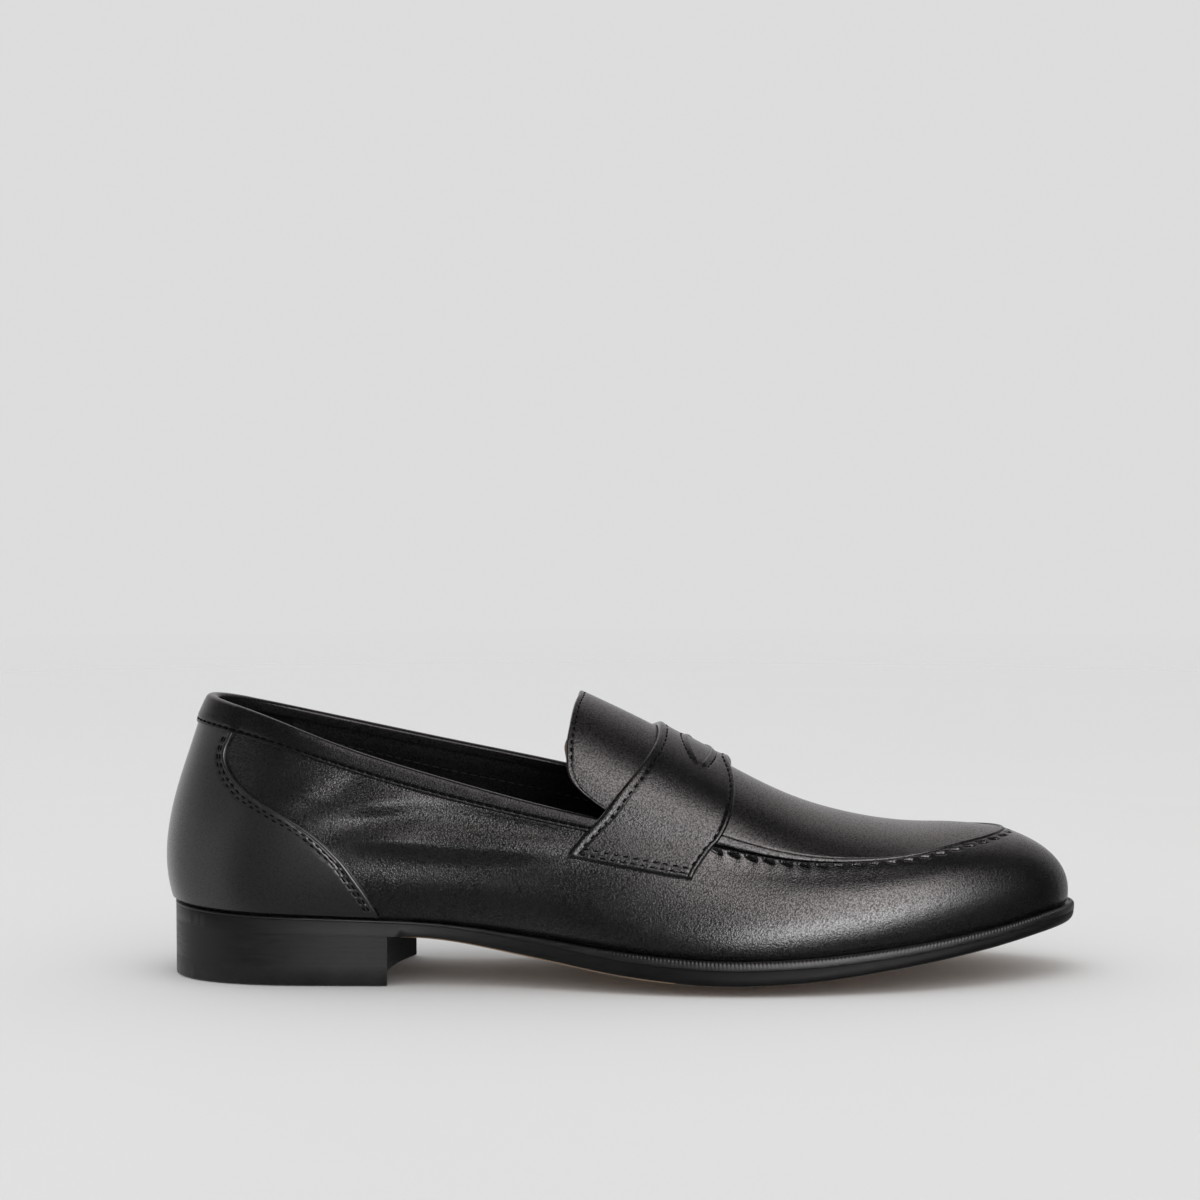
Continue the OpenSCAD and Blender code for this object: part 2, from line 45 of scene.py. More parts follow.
TOE = 13
LOOP = 26
PROFILE = [[24, .8, 5, 0], [22.8, .8, 5, 0], [22, .8, 4.6, 0], [20.6, .9, 4.4, .6], [17.2, 1.6, 5.2, 1.8],
           [13.4, 2.6, 5.3, 3], [11.4, 3, 5.1, 3.6], [12, 3, 4.7, 3.2], [14.6, 3, 4, 2.4],
           [18.3, 2.8, 3.6, 1.6], [22.9, 2.7, 3.5, .8]]
FEATHER = [[-148.5, 3, 3, .8], [-142, -16.5, 22.5, .8], [-121, -28, 31.5, 1], [-90, -30.5, 31, 1],
           [-60, -31, 27.5, 1.4], [-30, -35.5, 27, 2.2], [0, -43.5, 34, 3.2], [30, -48.5, 44, 3.8],
           [60, -47, 48.5, 3.9], [90, -40, 46, 3.6], [114.5, -29.5, 38.5, 3.2], [134, -17, 28, 2.8],
           [145.6, -5.5, 18.5, 2.4], [149.3, 6.5, 6.5, 2.2]]
EDGE = [[-137.5, 3, 3, 91.8, 91.8], [-133, -9, 15, 90.9, 90.7], [-116, -22.5, 25.5, 86.6, 86.4],
        [-90, -28.5, 30.5, 77.2, 80.3], [-60, -31.5, 32, 68.1, 73.8], [-30, -34, 33, 60.1, 67.6],
        [0, -36, 34, 53.3, 60.5], [30, -35.5, 35, 46.6, 51.5], [60, -34, 36, 41.2, 44.5],
        [90, -28.5, 33.5, 41.6, 43.5], [107.5, -20, 29.5, 44.2, 45], [119.5, -10.5, 23, 45.8, 46],
        [126, -1.5, 15, 46.6, 46.6], [128, 7, 7, 46.8, 46.8]]
BULGE = [[180, 7.6, 22, 7.5, 26], [150, 7, 21, 6.5, 25], [115, 7, 19, 6, 22], [90, 7.5, 17, 5, 19],
         [90, 8.5, 15, 4, 17], [90, 8, 14, 3.5, 14], [90, 6, 13, 4, 12], [90, 4.5, 12, 7, 10],
         [90, 4, 11.5, 10, 7], [75, 3.5, 11.5, 11, 6], [55, 3, 12, 12.5, 5.5], [35, 2.5, 12, 13.5, 5],
         [15, 2, 12, 14.5, 4.5], [0, 2, 12, 14.5, 4.5]]
ARCH = [[60, .5], [55, .5], [50, .5], [46, .5], [41, .5], [36.6, .52], [30, .55], [22.5, .62], [13.8, .75],
        [7.2, .9], [4.2, 1], [2.2, 1], [.8, 1], [0, 1]]
TONGUE_EDGE = [5.53, 5.48, 5.43, 5.39, 5.47, 6.1]
STRAP_EDGE = np.array([[11.5, 33.8], [10.4, 36.2], [5.3, 36], [-2.6, 33], [-10.4, 28], [-18.2, 22.3]])
STRAP_V = 1.34
SLOT_X, SLOT_V, SLOT_HALF = 24.5, .5, 3.8
FOXING_EDGE = [3.35, 3.24, 3.09, 2.9, 2.55, 1.84, 1.43, 1.48]
BREAST_LATERAL, BREAST_MEDIAL = 3.42, 3.65
BREAST_HOLLOW = 4.5
TOP_PIECE, LIFT = 6.5, 3.8
LEATHER, FOXING, STRAP = 1.4, 1.2, 1.8
GAP = .1        # between two layers of leather
THREAD = .55


def spline(points, u):
    n = len(points)
    u = np.asarray(u, float)
    i = np.floor(u).astype(int)
    f = (u - i)[..., None]
    return ((1 - f)**3 * points[(i - 1) % n] + (3*f**3 - 6*f**2 + 4) * points[i % n]
            + (-3*f**3 + 3*f**2 + 3*f + 1) * points[(i + 1) % n] + f**3 * points[(i + 2) % n]) / 6


def loop(lateral, medial):
    q = np.array(list(lateral) + list(medial)[-2:0:-1], float)
    p = q.copy()
    for _ in range(5):
        p = p + (q - (np.roll(p, 1, 0) + 4*p + np.roll(p, -1, 0)) / 6)
    return p


def along(table, f):
    table = np.asarray(table, float)
    n = len(table) - 1
    s = np.clip(f, 0, 1) * n
    i = np.minimum(np.floor(s).astype(int), n - 1)
    g = s - i
    if table.ndim > 1:
        g = g[..., None]
    a, b, c, d = table[np.maximum(i - 1, 0)], table[i], table[i + 1], table[np.minimum(i + 2, n)]
    return b + g/2 * (c - a + g * (2*a - 5*b + 4*c - d + g * (3*(b - c) + d - a)))


def profile(x):
    return along(PROFILE, (np.asarray(x, float) + 150) / 300)


def rise(x):
    return profile(x)[..., 0]


def compass(angle):
    return math.cos(math.radians(angle)), math.sin(math.radians(angle))


def polar(angle, side, out, up):
    c, s = compass(angle)
    return [out * c, side * out * s, up]


FEATHER_LOOP = loop([[r[0], r[1], rise(r[0]), r[3]] for r in FEATHER],
                    [[r[0], r[2], rise(r[0]), r[3]] for r in FEATHER])
EDGE_LOOP = loop([[r[0], r[1], r[3]] for r in EDGE], [[r[0], r[2], r[4]] for r in EDGE])
FOOT_LOOP = loop([polar(r[0], -1, r[1], r[2]) for r in BULGE], [polar(r[0], 1, r[1], r[2]) for r in BULGE])
HEAD_LOOP = loop([polar(r[0], -1, r[3], -r[4]) for r in BULGE], [polar(r[0], 1, r[3], -r[4]) for r in BULGE])
ARCH_LOOP = loop(ARCH, ARCH)


def grids(*values):
    return np.broadcast_arrays(*(np.asarray(v, float) for v in values))


def wall(q, t):
    """The side wall: q runs round the shoe from the heel, t from the sole (0) to the top edge (1)."""
    q, t = grids(q, t)
    t = t[..., None]
    f, e = spline(FEATHER_LOOP, q)[..., :3], spline(EDGE_LOOP, q)
    return ((1 - t)**3 * f + 3*(1 - t)**2*t * (f + spline(FOOT_LOOP, q))
            + 3*(1 - t)*t*t * (e + spline(HEAD_LOOP, q)) + t**3 * e)


def skin(u, v):
    """The top: u runs from the heel to the toe, v from the outer edge (-1) to the inner one (1), and on
    down the wall on each side."""
    u, v = grids(u, v)
    low = wall(np.where(v < 0, u, -u), 2 - np.abs(v))
    a = spline(ARCH_LOOP, u)
    h = (v[..., None] + 1) / 2
    top = spline(EDGE_LOOP, u) * (1 - h) + spline(EDGE_LOOP, -u) * h
    top[..., 2] += np.clip(1 - v*v, 0, None)**a[..., 1] * a[..., 0]
    return np.where(np.abs(v)[..., None] >= 1, low, top)


def length(v):
    return np.linalg.norm(v, axis=-1)


def unit(v):
    return v / np.maximum(length(v), 1e-12)[..., None]


def normal(f, a, b):
    e = .01
    return unit(np.cross(f(a + e, b) - f(a - e, b), f(a, b + e) - f(a, b - e)))


def surface(f, a, b):
    return f(a, b), normal(f, a, b)


def raised(f, a, b, h):
    a, b, h = grids(a, b, h)
    return f(a, b) + h[..., None] * normal(f, a, b)


def station(x):
    return 3 + (np.asarray(x, float) + 90) / 30


def beside(q, out, up):
    """Points a distance out from the line where the wall meets the sole."""
    q, out, up = grids(q, out, up)
    d = (spline(FEATHER_LOOP, q + .02) - spline(FEATHER_LOOP, q - .02))[..., :2]
    n = unit(np.stack([d[..., 1], -d[..., 0]], -1))
    p = spline(FEATHER_LOOP, q)[..., :3].copy()
    p[..., :2] += out[..., None] * n
    p[..., 2] = rise(p[..., 0]) + up
    return p


def sole_out(q):
    return spline(FEATHER_LOOP, q)[..., 3]


def across(u, r, out):
    h = ((np.asarray(r, float) + 1) / 2)[..., None]
    return beside(u, out, 0) * (1 - h) + beside(-u, out, 0) * h


def turn(v):
    return np.degrees(np.arcsin(np.minimum(np.abs(v), 1))) / 90


def tongue_u(v):
    return along(TONGUE_EDGE, turn(v)) + .09 * fade(v, 0, .42)


def foxing_q(t):
    return along(FOXING_EDGE, np.asarray(t) / .9)


def strap_v(w):
    w = np.asarray(w, float)
    return np.where(np.abs(w) < 1, np.sin(np.radians(90 * w)), w)


def strap_x(w, side):
    return along(STRAP_EDGE[:, side], np.abs(w) / STRAP_V)


def slot_half(v):
    return np.maximum(.12, SLOT_HALF * (1 - (v / SLOT_V)**2))


# ---- Mesh building ----

FULL_TURN = 6.283


def hill(x, width):
    return np.exp(-(x / width)**2)


def fade(x, a, b):
    f = np.clip((x - a) / (b - a), 0, 1)
    return f*f*(3 - 2*f)


def steps(a, b, n):
    return np.linspace(a, b, n + 1)


def edge_drop(s, r):
    """How far a rounded edge of radius r lies below the surface at a distance s from the edge."""
    k = np.clip(r - s, 0, r)
    return r - np.sqrt(np.maximum(r*r - k*k, 0))


def spread(total, near, n):
    """Distances from 0 to total, close together at both ends. total may be an array."""
    total = np.asarray(total, float)[..., None]
    low = near * np.minimum(1, total / (2.6 * near[-1]))
    f = np.linspace(0, 1, n + 2)[1:-1]
    mid = low[..., -1:] * (1 - f) + (total - low[..., -1:]) * f
    return np.concatenate([low, mid, total - low[..., ::-1]], -1)


def walk(points):
    """Distance travelled along a row of points."""
    return np.concatenate([[0], np.cumsum(length(np.diff(points, axis=0)))])


def sheet(top, under, keep=None):
    """Points and quads of a closed sheet between two grids of points."""
    rows, cols = top.shape[:2]
    at = np.arange(rows * cols).reshape(rows, cols)
    keep = np.ones((rows - 1, cols - 1), bool) if keep is None else keep
    a, b, c, d = at[:-1, :-1], at[:-1, 1:], at[1:, 1:], at[1:, :-1]
    o = rows * cols
    pad = np.zeros((rows + 1, cols + 1), bool)
    pad[1:-1, 1:-1] = keep
    quads = [np.stack([x[keep] for x in (a, b, c, d)], 1), np.stack([x[keep] + o for x in (d, c, b, a)], 1)]
    for near, p, q in ((pad[:-2, 1:-1], a, b), (pad[2:, 1:-1], c, d),
                       (pad[1:-1, :-2], d, a), (pad[1:-1, 2:], b, c)):
        m = keep & ~near
        quads.append(np.stack([q[m], p[m], p[m] + o, q[m] + o], 1))
    return np.concatenate([top.reshape(-1, 3), under.reshape(-1, 3)]), np.concatenate(quads)


def ring_tube(points):
    """Quads of a closed tube: points[i, j] is point j of cross-section i. The first and last sections
    are closed with a strip of quads, and each section has an even number of points."""
    n, m = points.shape[:2]
    at = np.arange(n * m).reshape(n, m)
    nxt = np.roll(at, -1, 1)
    quads = [np.stack([at[:-1], nxt[:-1], nxt[1:], at[1:]], -1).reshape(-1, 4)]
    k = np.arange(m // 2 - 1)
    for row, flip in ((at[0], False), (at[-1], True)):
        cap = np.stack([row[m - 1 - k], row[m - 2 - k], row[k + 1], row[k]], 1)
        quads.append(cap[:, ::-1] if not flip else cap)
    return points.reshape(-1, 3), np.concatenate(quads)


def volume(points, quads):
    a, b, c, d = (points[quads[:, k]] for k in range(4))
    return (np.einsum("ij,ij->i", a, np.cross(b, c)) + np.einsum("ij,ij->i", a, np.cross(c, d))).sum()


def piece(name, shape, material, slot, replaces=(), sharp=50, also=()):
    """Makes a piece from points in millimetres and quads, riding on the shoe."""
    points, quads = shape
    if volume(points - points.mean(0), quads) < 0:
        quads = quads[:, ::-1]
    used, quads = np.unique(quads, return_inverse=True)
    quads = quads.reshape(-1, 4)
    points = points[used]
    mesh = bpy.data.meshes.new(name)
    mesh.vertices.add(len(points))
    mesh.vertices.foreach_set("co", (points * MM).astype(np.float32).ravel())
    mesh.loops.add(quads.size)
    mesh.loops.foreach_set("vertex_index", quads.astype(np.int32).ravel())
    mesh.polygons.add(len(quads))
    mesh.polygons.foreach_set("loop_start", np.arange(0, quads.size, 4, dtype=np.int32))
    mesh.update(calc_edges=True)
    mesh.validate()
    mesh.materials.append(material)
    if also:
        facing, place = np.zeros((2, len(mesh.polygons) * 3), np.float32)
        mesh.polygons.foreach_get("normal", facing)
        mesh.polygons.foreach_get("center", place)
        chosen = np.zeros(len(mesh.polygons), np.int32)
        for k, (other, where) in enumerate(also, 1):
            mesh.materials.append(other)
            chosen[where(facing.reshape(-1, 3), place.reshape(-1, 3) / MM)] = k
        mesh.polygons.foreach_set("material_index", chosen)
    mesh.shade_smooth()
    mesh.set_sharp_from_angle(angle=math.radians(sharp))
    obj = bpy.data.objects.new(name, mesh)
    bpy.context.scene.collection.objects.link(obj)
    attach(obj, "root")
    if replaces:
        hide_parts(*replaces)
    return obj


STITCH_X = np.array([-.5, -.485, -.42, -.3, -.1, .1, .3, .42, .485, .5])
STITCH_R = np.array([.35, .7, .95, 1.05, 1, 1, 1.05, .95, .7, .35])


def stitches(rows, thick):
    """Points and quads of many stitches. A row is (start points, end points, normals)."""
    start, end, up = (np.concatenate([r[k] for r in rows]) for k in range(3))
    way = end - start
    side = unit(np.cross(up, way))
    up = unit(np.cross(way, side))
    angle = np.radians(22.5 + 45*np.arange(8))
    n, rings = len(start), len(STITCH_X)
    lift = (1 - (2*STITCH_X)**4) * .28 * thick - .3 * thick
    r = STITCH_R * thick / 2
    mid = ((start + end) / 2)[:, None, :] + way[:, None, :] * STITCH_X[None, :, None] \
        + up[:, None, :] * lift[None, :, None]
    pts = mid[:, :, None, :] + side[:, None, None, :] * (r[:, None] * np.cos(angle))[None, :, :, None] \
        + up[:, None, None, :] * (.8 * r[:, None] * np.sin(angle))[None, :, :, None]
    _, quads = ring_tube(pts[0])
    step = rings * 8
    return pts.reshape(-1, 3), (quads[None] + step * np.arange(n)[:, None, None]).reshape(-1, 4)


def stitch_row(place, pitch, share=.55):
    """A row of stitches along place(s), which gives (points, normals) for s from 0 to 1. share is the
    part of the pitch that shows as thread."""
    s = steps(0, 1, 800)
    pts, _ = place(s)
    way = walk(pts)
    n = int(way[-1] / pitch)
    pitch = way[-1] / n
    mid = (np.arange(n) + .5) * pitch
    a, b = (np.interp(mid + k * pitch * share / 2, way, s) for k in (-1, 1))
    (p, n0), (q, n1) = place(a), place(b)
    return p, q, unit(n0 + n1)


def press(points, rows, depth, width):
    """How far the stitches of some rows pull a surface in, at each of its points."""
    start, end = (np.concatenate([r[k] for r in rows]) for k in (0, 1))
    marks = (start[:, None] + (end - start)[:, None] * steps(0, 1, 4)[None, :, None]).reshape(-1, 3)
    tree = KDTree(len(marks))
    for i, p in enumerate(marks):
        tree.insert(p, i)
    tree.balance()
    away = np.array([tree.find(p)[2] for p in points.reshape(-1, 3)])
    return depth * hill(away, width).reshape(points.shape[:-1])


def nearest(points, line):
    """Distance in plan from each point to a line of points, and the place of the nearest one."""
    tree = KDTree(len(line))
    for i, p in enumerate(line):
        tree.insert((p[0], p[1], 0), i)
    tree.balance()
    flat = points.reshape(-1, 3)
    found = [tree.find((p[0], p[1], 0)) for p in flat]
    return (np.array([f[2] for f in found]).reshape(points.shape[:-1]),
            np.array([f[1] for f in found]).reshape(points.shape[:-1]))


# ---- Materials ----

def feed(tree, node, sockets):
    """Sets a node's inputs. Each value is a number, a colour or another node's socket."""
    for key, value in sockets.items():
        if isinstance(value, bpy.types.NodeSocket):
            tree.links.new(value, node.inputs[key])
        else:
            node.inputs[key].default_value = value


def add(tree, kind, sockets=None, **settings):
    node = tree.nodes.new(kind)
    for key, value in settings.items():
        setattr(node, key, value)
    feed(tree, node, sockets or {})
    return node


def calc(tree, kind, a, b):
    return add(tree, "ShaderNodeMath", {0: a, 1: b}, operation=kind).outputs[0]


def new_material(name):
    mat = bpy.data.materials.new(name)
    mat.use_nodes = True
    tree = mat.node_tree
    return mat, tree, tree.nodes["Principled BSDF"], add(tree, "ShaderNodeTexCoord").outputs["Object"]


def noise(tree, pos, scale, detail=2.0, roughness=.5):
    return add(tree, "ShaderNodeTexNoise", {"Vector": pos, "Scale": scale, "Detail": detail,
                                            "Roughness": roughness}).outputs["Fac"]


def ranged(tree, value, a, b, c, d):
    return add(tree, "ShaderNodeMapRange", {"Value": value, "From Min": a, "From Max": b,
                                            "To Min": c, "To Max": d}).outputs[0]


def mixed(tree, fac, a, b):
    return add(tree, "ShaderNodeMix", {0: fac, 6: a, 7: b}, data_type="RGBA").outputs[2]


def bump(tree, height, distance, strength, **below):
    return add(tree, "ShaderNodeBump", {"Height": height, "Distance": distance, "Strength": strength,
                                        **below}).outputs["Normal"]


def grey(value, warm=0.0):
    return (value * (1 + warm), value, value * (1 - warm), 1)


def leather(name, dark, light, rough, grain=1.0, folds=.5, tint=0.0, shine=.75, even=0.0):
    """Fine calf: cells about 0.5 mm across, soft creases, and slow changes of tone and gloss. even, from
    0 to 1, takes the sparkle off the cells."""
    mat, tree, bsdf, pos = new_material(name)
    slow = noise(tree, pos, 26, 3)
    fine = noise(tree, pos, 3600, 2)
    warp = add(tree, "ShaderNodeVectorMath", {0: pos, 1: add(tree, "ShaderNodeVectorMath", {
        0: add(tree, "ShaderNodeTexNoise", {"Vector": pos, "Scale": 900}).outputs["Color"],
        1: (.0007,) * 3}, operation="MULTIPLY").outputs[0]}, operation="ADD").outputs[0]
    cells = add(tree, "ShaderNodeTexVoronoi", {"Vector": warp, "Scale": 1900},
                feature="SMOOTH_F1").outputs["Distance"]
    creases = noise(tree, pos, 55, 2, .4)
    tone = mixed(tree, ranged(tree, slow, .32, .68, 0, 1), grey(dark, tint), grey(light, tint))
    tone = mixed(tree, ranged(tree, cells, .25, .75, 0, .55), tone, grey(dark * .35, tint))
    gloss = calc(tree, "ADD", ranged(tree, slow, .3, .7, rough - .04, rough + .05),
                 ranged(tree, fine, .3, .7, -.05, .05))
    height = calc(tree, "ADD", ranged(tree, cells, .1, .8, 1, 0), ranged(tree, fine, .2, .8, 0, .5))
    up = bump(tree, height, .00006, .8 * grain, Normal=bump(tree, creases, .0006, .2 * folds))
    finish = calc(tree, "MULTIPLY", ranged(tree, cells, .15, .65, shine * (1 - .5 * even), shine * .5 * even),
                  ranged(tree, fine, .25, .75, .5 + .5 * even, 1.4 - .4 * even))
    feed(tree, bsdf, {"Base Color": tone, "Roughness": gloss, "Normal": up, "Coat Normal": up,
                      "Coat Weight": finish, "Specular IOR Level": .45 * shine, "Coat IOR": 1.8,
                      "Coat Roughness": rough})
    return mat


def thread_material(name, value):
    mat, tree, bsdf, pos = new_material(name)
    fibre = noise(tree, pos, 5200, 3, .7)
    tone = mixed(tree, ranged(tree, fibre, .3, .7, 0, 1), grey(value * .6), grey(value * 1.6))
    feed(tree, bsdf, {"Base Color": tone, "Roughness": .6, "Specular IOR Level": .05,
                      "Normal": bump(tree, fibre, .0001, .6)})
    return mat


def edge_paint(name, dark, light, layers=0.0, rough=.38, grain=.5, shine=.5, waxed=0.0):
    """Inked and burnished leather edge: flat layers, light scuffs along them, and fine fibres. A waxed
    edge has a soft coat from the heel to the waist."""
    mat, tree, bsdf, pos = new_material(name)
    flat = add(tree, "ShaderNodeMapping", {"Vector": pos, "Scale": (1, 1, 9)}).outputs[0]
    scuff = noise(tree, flat, 130, 5, .65)
    fibre = noise(tree, flat, 1500, 2)
    up = bump(tree, fibre, .00005, grain)
    if layers:
        band = add(tree, "ShaderNodeTexWave", {"Vector": pos, "Scale": layers, "Distortion": 1.5, "Detail": 2,
                                               "Detail Scale": 40}, bands_direction="Z").outputs["Fac"]
        up = bump(tree, band, .00004, .2, Normal=up)
    feed(tree, bsdf, {
        "Base Color": mixed(tree, ranged(tree, scuff, .35, .72, 0, 1), grey(dark), grey(light)),
        "Roughness": ranged(tree, scuff, .3, .7, rough - .06, rough + .1), "Normal": up,
        "Specular IOR Level": shine})
    if waxed:
        x = add(tree, "ShaderNodeSeparateXYZ", {0: pos}).outputs["X"]
        feed(tree, bsdf, {"Coat Weight": ranged(tree, x, -.07, .01, waxed, 0), "Coat Roughness": .45})
    return mat


def plain(name, dark, light, rough, scale, depth, metallic=0.0, shine=.5):
    """Fibrous or cast stuff: two tones mixed by noise, with a bump of the same grain."""
    mat, tree, bsdf, pos = new_material(name)
    coarse = noise(tree, pos, scale, 4, .6)
    fine = noise(tree, pos, scale * 6, 2)
    feed(tree, bsdf, {
        "Base Color": mixed(tree, ranged(tree, coarse, .35, .65, 0, 1), dark, light),
        "Roughness": ranged(tree, fine, .3, .7, rough - .06, rough + .08), "Metallic": metallic,
        "Specular IOR Level": shine,
        "Normal": bump(tree, fine, depth, .5, Normal=bump(tree, coarse, depth * 2, .4))})
    return mat


upper = leather("wall_leather", .005, .008, rough=.25, shine=.84)
# Painted light: the apron's slight warm tint stands in for the warm light reflected off its top.
apron_mat = leather("apron_leather", .006, .009, rough=.32, grain=.8, tint=.03, shine=.72)
strap_mat = leather("strap_leather", .005, .008, rough=.27, shine=.62)
foxing_mat = leather("foxing_leather", .009, .013, rough=.32, grain=.25, shine=.88, even=.8)
binding_mat = leather("binding_leather", .005, .008, rough=.26, grain=.7, folds=.7, shine=.42, even=.4)
lining_mat = leather("lining_leather", .0025, .004, rough=.65, grain=.7, shine=.12)
sock_mat = leather("sock_leather", .005, .008, rough=.55, grain=.7, shine=.3)
suede = plain("heel_grip_suede", grey(.003), grey(.007), .9, 900, .0002, shine=.1)
tongue_back = plain("tongue_lining_leather", (.11, .075, .05, 1), (.2, .145, .105, 1), .7, 260, .0002)
thread_mat = thread_material("thread_black", .002)
hand_mat = thread_material("hand_thread_black", .003)
grey_mat = thread_material("thread_grey", .024)
sole_mat = edge_paint("sole_edge_ink", .005, .009, rough=.46, shine=.12, waxed=.48)
lift_mat = edge_paint("heel_edge_ink", .007, .011, layers=180, rough=.42, grain=.35, shine=.36)
# Painted shade: the heel breast gets a darker, almost unreflecting ink that stands in for the shade under the
# arch.
breast_shade_mat = edge_paint("heel_breast_painted_shade", .006, .011, rough=.6, shine=.02)
welt_mat = edge_paint("welt_ink", .006, .014, rough=.36, grain=.7)
rubber = plain("heel_rubber", grey(.007), grey(.011), .5, 500, .00003, shine=.36)
tan = plain("sole_leather", (.17, .1, .055, 1), (.28, .175, .1, 1), .5, 120, .00012)
cork = plain("cork", (.19, .11, .06, 1), (.36, .22, .12, 1), .8, 500, .0005)
insole_mat = plain("insole_leather", (.33, .22, .13, 1), (.47, .33, .21, 1), .65, 200, .0002)
foam = plain("foam", grey(.14, .04), grey(.2, .04), .9, 1400, .0003)
steel = plain("shank_steel", grey(.38), grey(.5), .32, 350, .00006, 1.0)
brass = plain("nail_brass", (.55, .38, .15, 1), (.7, .5, .22, 1), .35, 600, .00005, 1.0)
stiff = plain("stiffener", (.42, .34, .25, 1), (.52, .43, .33, 1), .75, 420, .00015)


# ---- Upper ----

def on_wall(q, t, h):
    p, n = surface(wall, q, t)
    return p + n * np.asarray(h)[..., None], n


# The seam between wall and apron, with the hand stitches' places along it
SEAM_HIDDEN, SEAM_FROM, SEAM_PITCH = 6.55, 7.1, 5.7
SEAM_GAP, LIP = .1, .52       # free edge of the apron: its gap to the wall, and the radius of its roll
PIT_DOWN, PIT_SLOPE = 1.8, .32
seam_q = steps(0, LOOP, 8000)
seam_line = spline(EDGE_LOOP, seam_q)
seam_way = walk(seam_line)
seam_a, seam_b = np.interp([SEAM_FROM, LOOP - SEAM_FROM], seam_q, seam_way)
seam_n = int((seam_b - seam_a) / SEAM_PITCH)


def seam_phase(q):
    """Whole numbers lie halfway between two hand stitches."""
    return (np.interp(q, seam_q, seam_way) - seam_a) / (seam_b - seam_a) * seam_n


def seam_share(q):
    """1 along the visible seam, 0 behind the strap's front edge."""
    q = np.minimum(q, LOOP - q)
    return fade(q, SEAM_HIDDEN, SEAM_FROM)


def seam_rise(x):
    """How far the wall stands up beside the seam; less towards the toe."""
    return .6 * (1 - fade(x, 80, 118))


def slow_waves(p, size, seed):
    """Smooth uneven field of points, about -1 to 1, that repeats each run."""
    rng = np.random.default_rng(seed)
    out = np.zeros(p.shape[:-1])
    for _ in range(9):
        step = unit(rng.normal(size=3)) * rng.uniform(.6, 1.5) * FULL_TURN / size
        out += np.sin(p @ step + rng.uniform(0, FULL_TURN))
    return out / 4


def ridges(p, rows):
    """Long soft folds in side view: x, z, length, width, angle, height."""
    out = np.zeros(p.shape[:-1])
    for x, z, long, wide, angle, height in rows:
        c, s = compass(angle)
        dx, dz = p[..., 0] - x, p[..., 2] - z
        out += height * hill(dx*c + dz*s, long) * hill(dz*c - dx*s, wide)
    return out


QUARTER_FOLDS = [
    (-46, 47, 40, 3.4, -2, .66), (-50, 39.5, 36, 3.6, -2, -.34), (-46, 55, 36, 4, -3, -.36),
    (-104, 63.5, 9, 1.9, 6, .34), (-104, 58.5, 10, 2, 6, -.3), (-81, 60, 11, 2.2, 4, .4),
    (-82, 54.5, 13, 2.4, 3, -.42), (-78, 49, 14, 2.2, 0, .42), (-88, 67, 12, 2.2, 14, -.3),
    (-62, 63, 16, 2.6, 2, .3), (-96, 49, 14, 2.6, 8, -.3), (-20, 58, 16, 3, -12, .24),
    (-22, 51, 18, 3, -8, -.26)]
FOLD_HEIGHT = 2.2
COUNTER_LINE = [20, 24, 31, 36, 60], [-51, -60, -71, -78, -100]     # z, x
UNEVEN = np.random.default_rng(5).uniform(.8, 1.2, 110)             # depth of each hand stitch's pit


def puckers(p, q, down):
    """Height of the wall beside the hand-sewn seam, at a distance down from it: it stands up, with a
    slanted pit at each stitch and small swells between them."""
    phase = seam_phase(q)
    uneven = np.interp(phase, np.arange(-20, 90), UNEVEN)
    along_seam = (phase - np.floor(phase) - .5) * SEAM_PITCH
    inside_pit = 1 - fade(np.abs(along_seam), 1.3, 2.1)
    pit = hill(down - PIT_DOWN - PIT_SLOPE * along_seam, .62) * inside_pit
    rearward = 1 - fade(p[..., 0], 45, 100)
    stand = seam_rise(p[..., 0]) * fade(down, 0, 1.1) * (1 - fade(down, 1.1, 8))
    return seam_share(q) * (
        stand + (.12 + .12 * rearward) * hill(down - .6, 1.35) - (.6 + .6 * rearward) * uneven * pit
        + .08 * rearward * uneven * (1 - inside_pit) * hill(down - 1.1, .9)
        + .1 * rearward * uneven * np.cos(2*np.pi*phase) * hill(down - 3.2, 2.4))


def wall_shape(q, t):
    """Points, normals and heights of the wall's outside, with its puckers, folds and counter line."""
    p, n = surface(wall, q, t)
    x, z = p[..., 0], p[..., 2]
    h = puckers(p, q, length(p - wall(q, np.ones_like(t))))
    quarter = fade(x, -118, -100) * (1 - fade(x, -10, 15)) * fade(t, .12, .3) * (1 - fade(t, .82, .9))
    h = h + FOLD_HEIGHT * quarter * ridges(p, QUARTER_FOLDS)
    h = h + .1 * slow_waves(p, 34, 3) * fade(t, .02, .15)
    line = np.interp(z, *COUNTER_LINE)
    return p, n, h + .34 * hill(x - line, .45) * (1 - fade(z, 33, 38)) * fade(z, 17, 21)


fine_from, fine_to = np.interp([6.7, 19.3], seam_q, seam_way)
wall_q = np.interp(np.concatenate([
    steps(0, fine_from, 90)[:-1], steps(fine_from, fine_to, 700)[:-1],
    steps(fine_to, seam_way[-1], 90)]), seam_way, seam_q)
wall_q = np.clip(wall_q, .02, LOOP - .02)
wall_t = np.concatenate([steps(.0, .12, 6)[1:-1], steps(.12, .86, 24)[:-1], steps(.86, .997, 21)])
Q, T = np.meshgrid(wall_q, wall_t, indexing="ij")
P, N, H = wall_shape(Q, T)
# under the shoe the wall turns in over the insole
foot = np.stack([beside(wall_q, o, 0) for o in (-12, -6, -.3)], 1)
foot_low = np.stack([beside(wall_q, o, LEATHER) for o in (-12, -6, -2)], 1)
outer = np.concatenate([foot, P + N * H[..., None]], 1)
inner = np.concatenate([foot_low, P - N * (LEATHER - np.minimum(H, 0) * .9)[..., None]], 1)
piece("wall_leather", sheet(outer, inner), upper, "upper_leather", ["vamp_wall"])


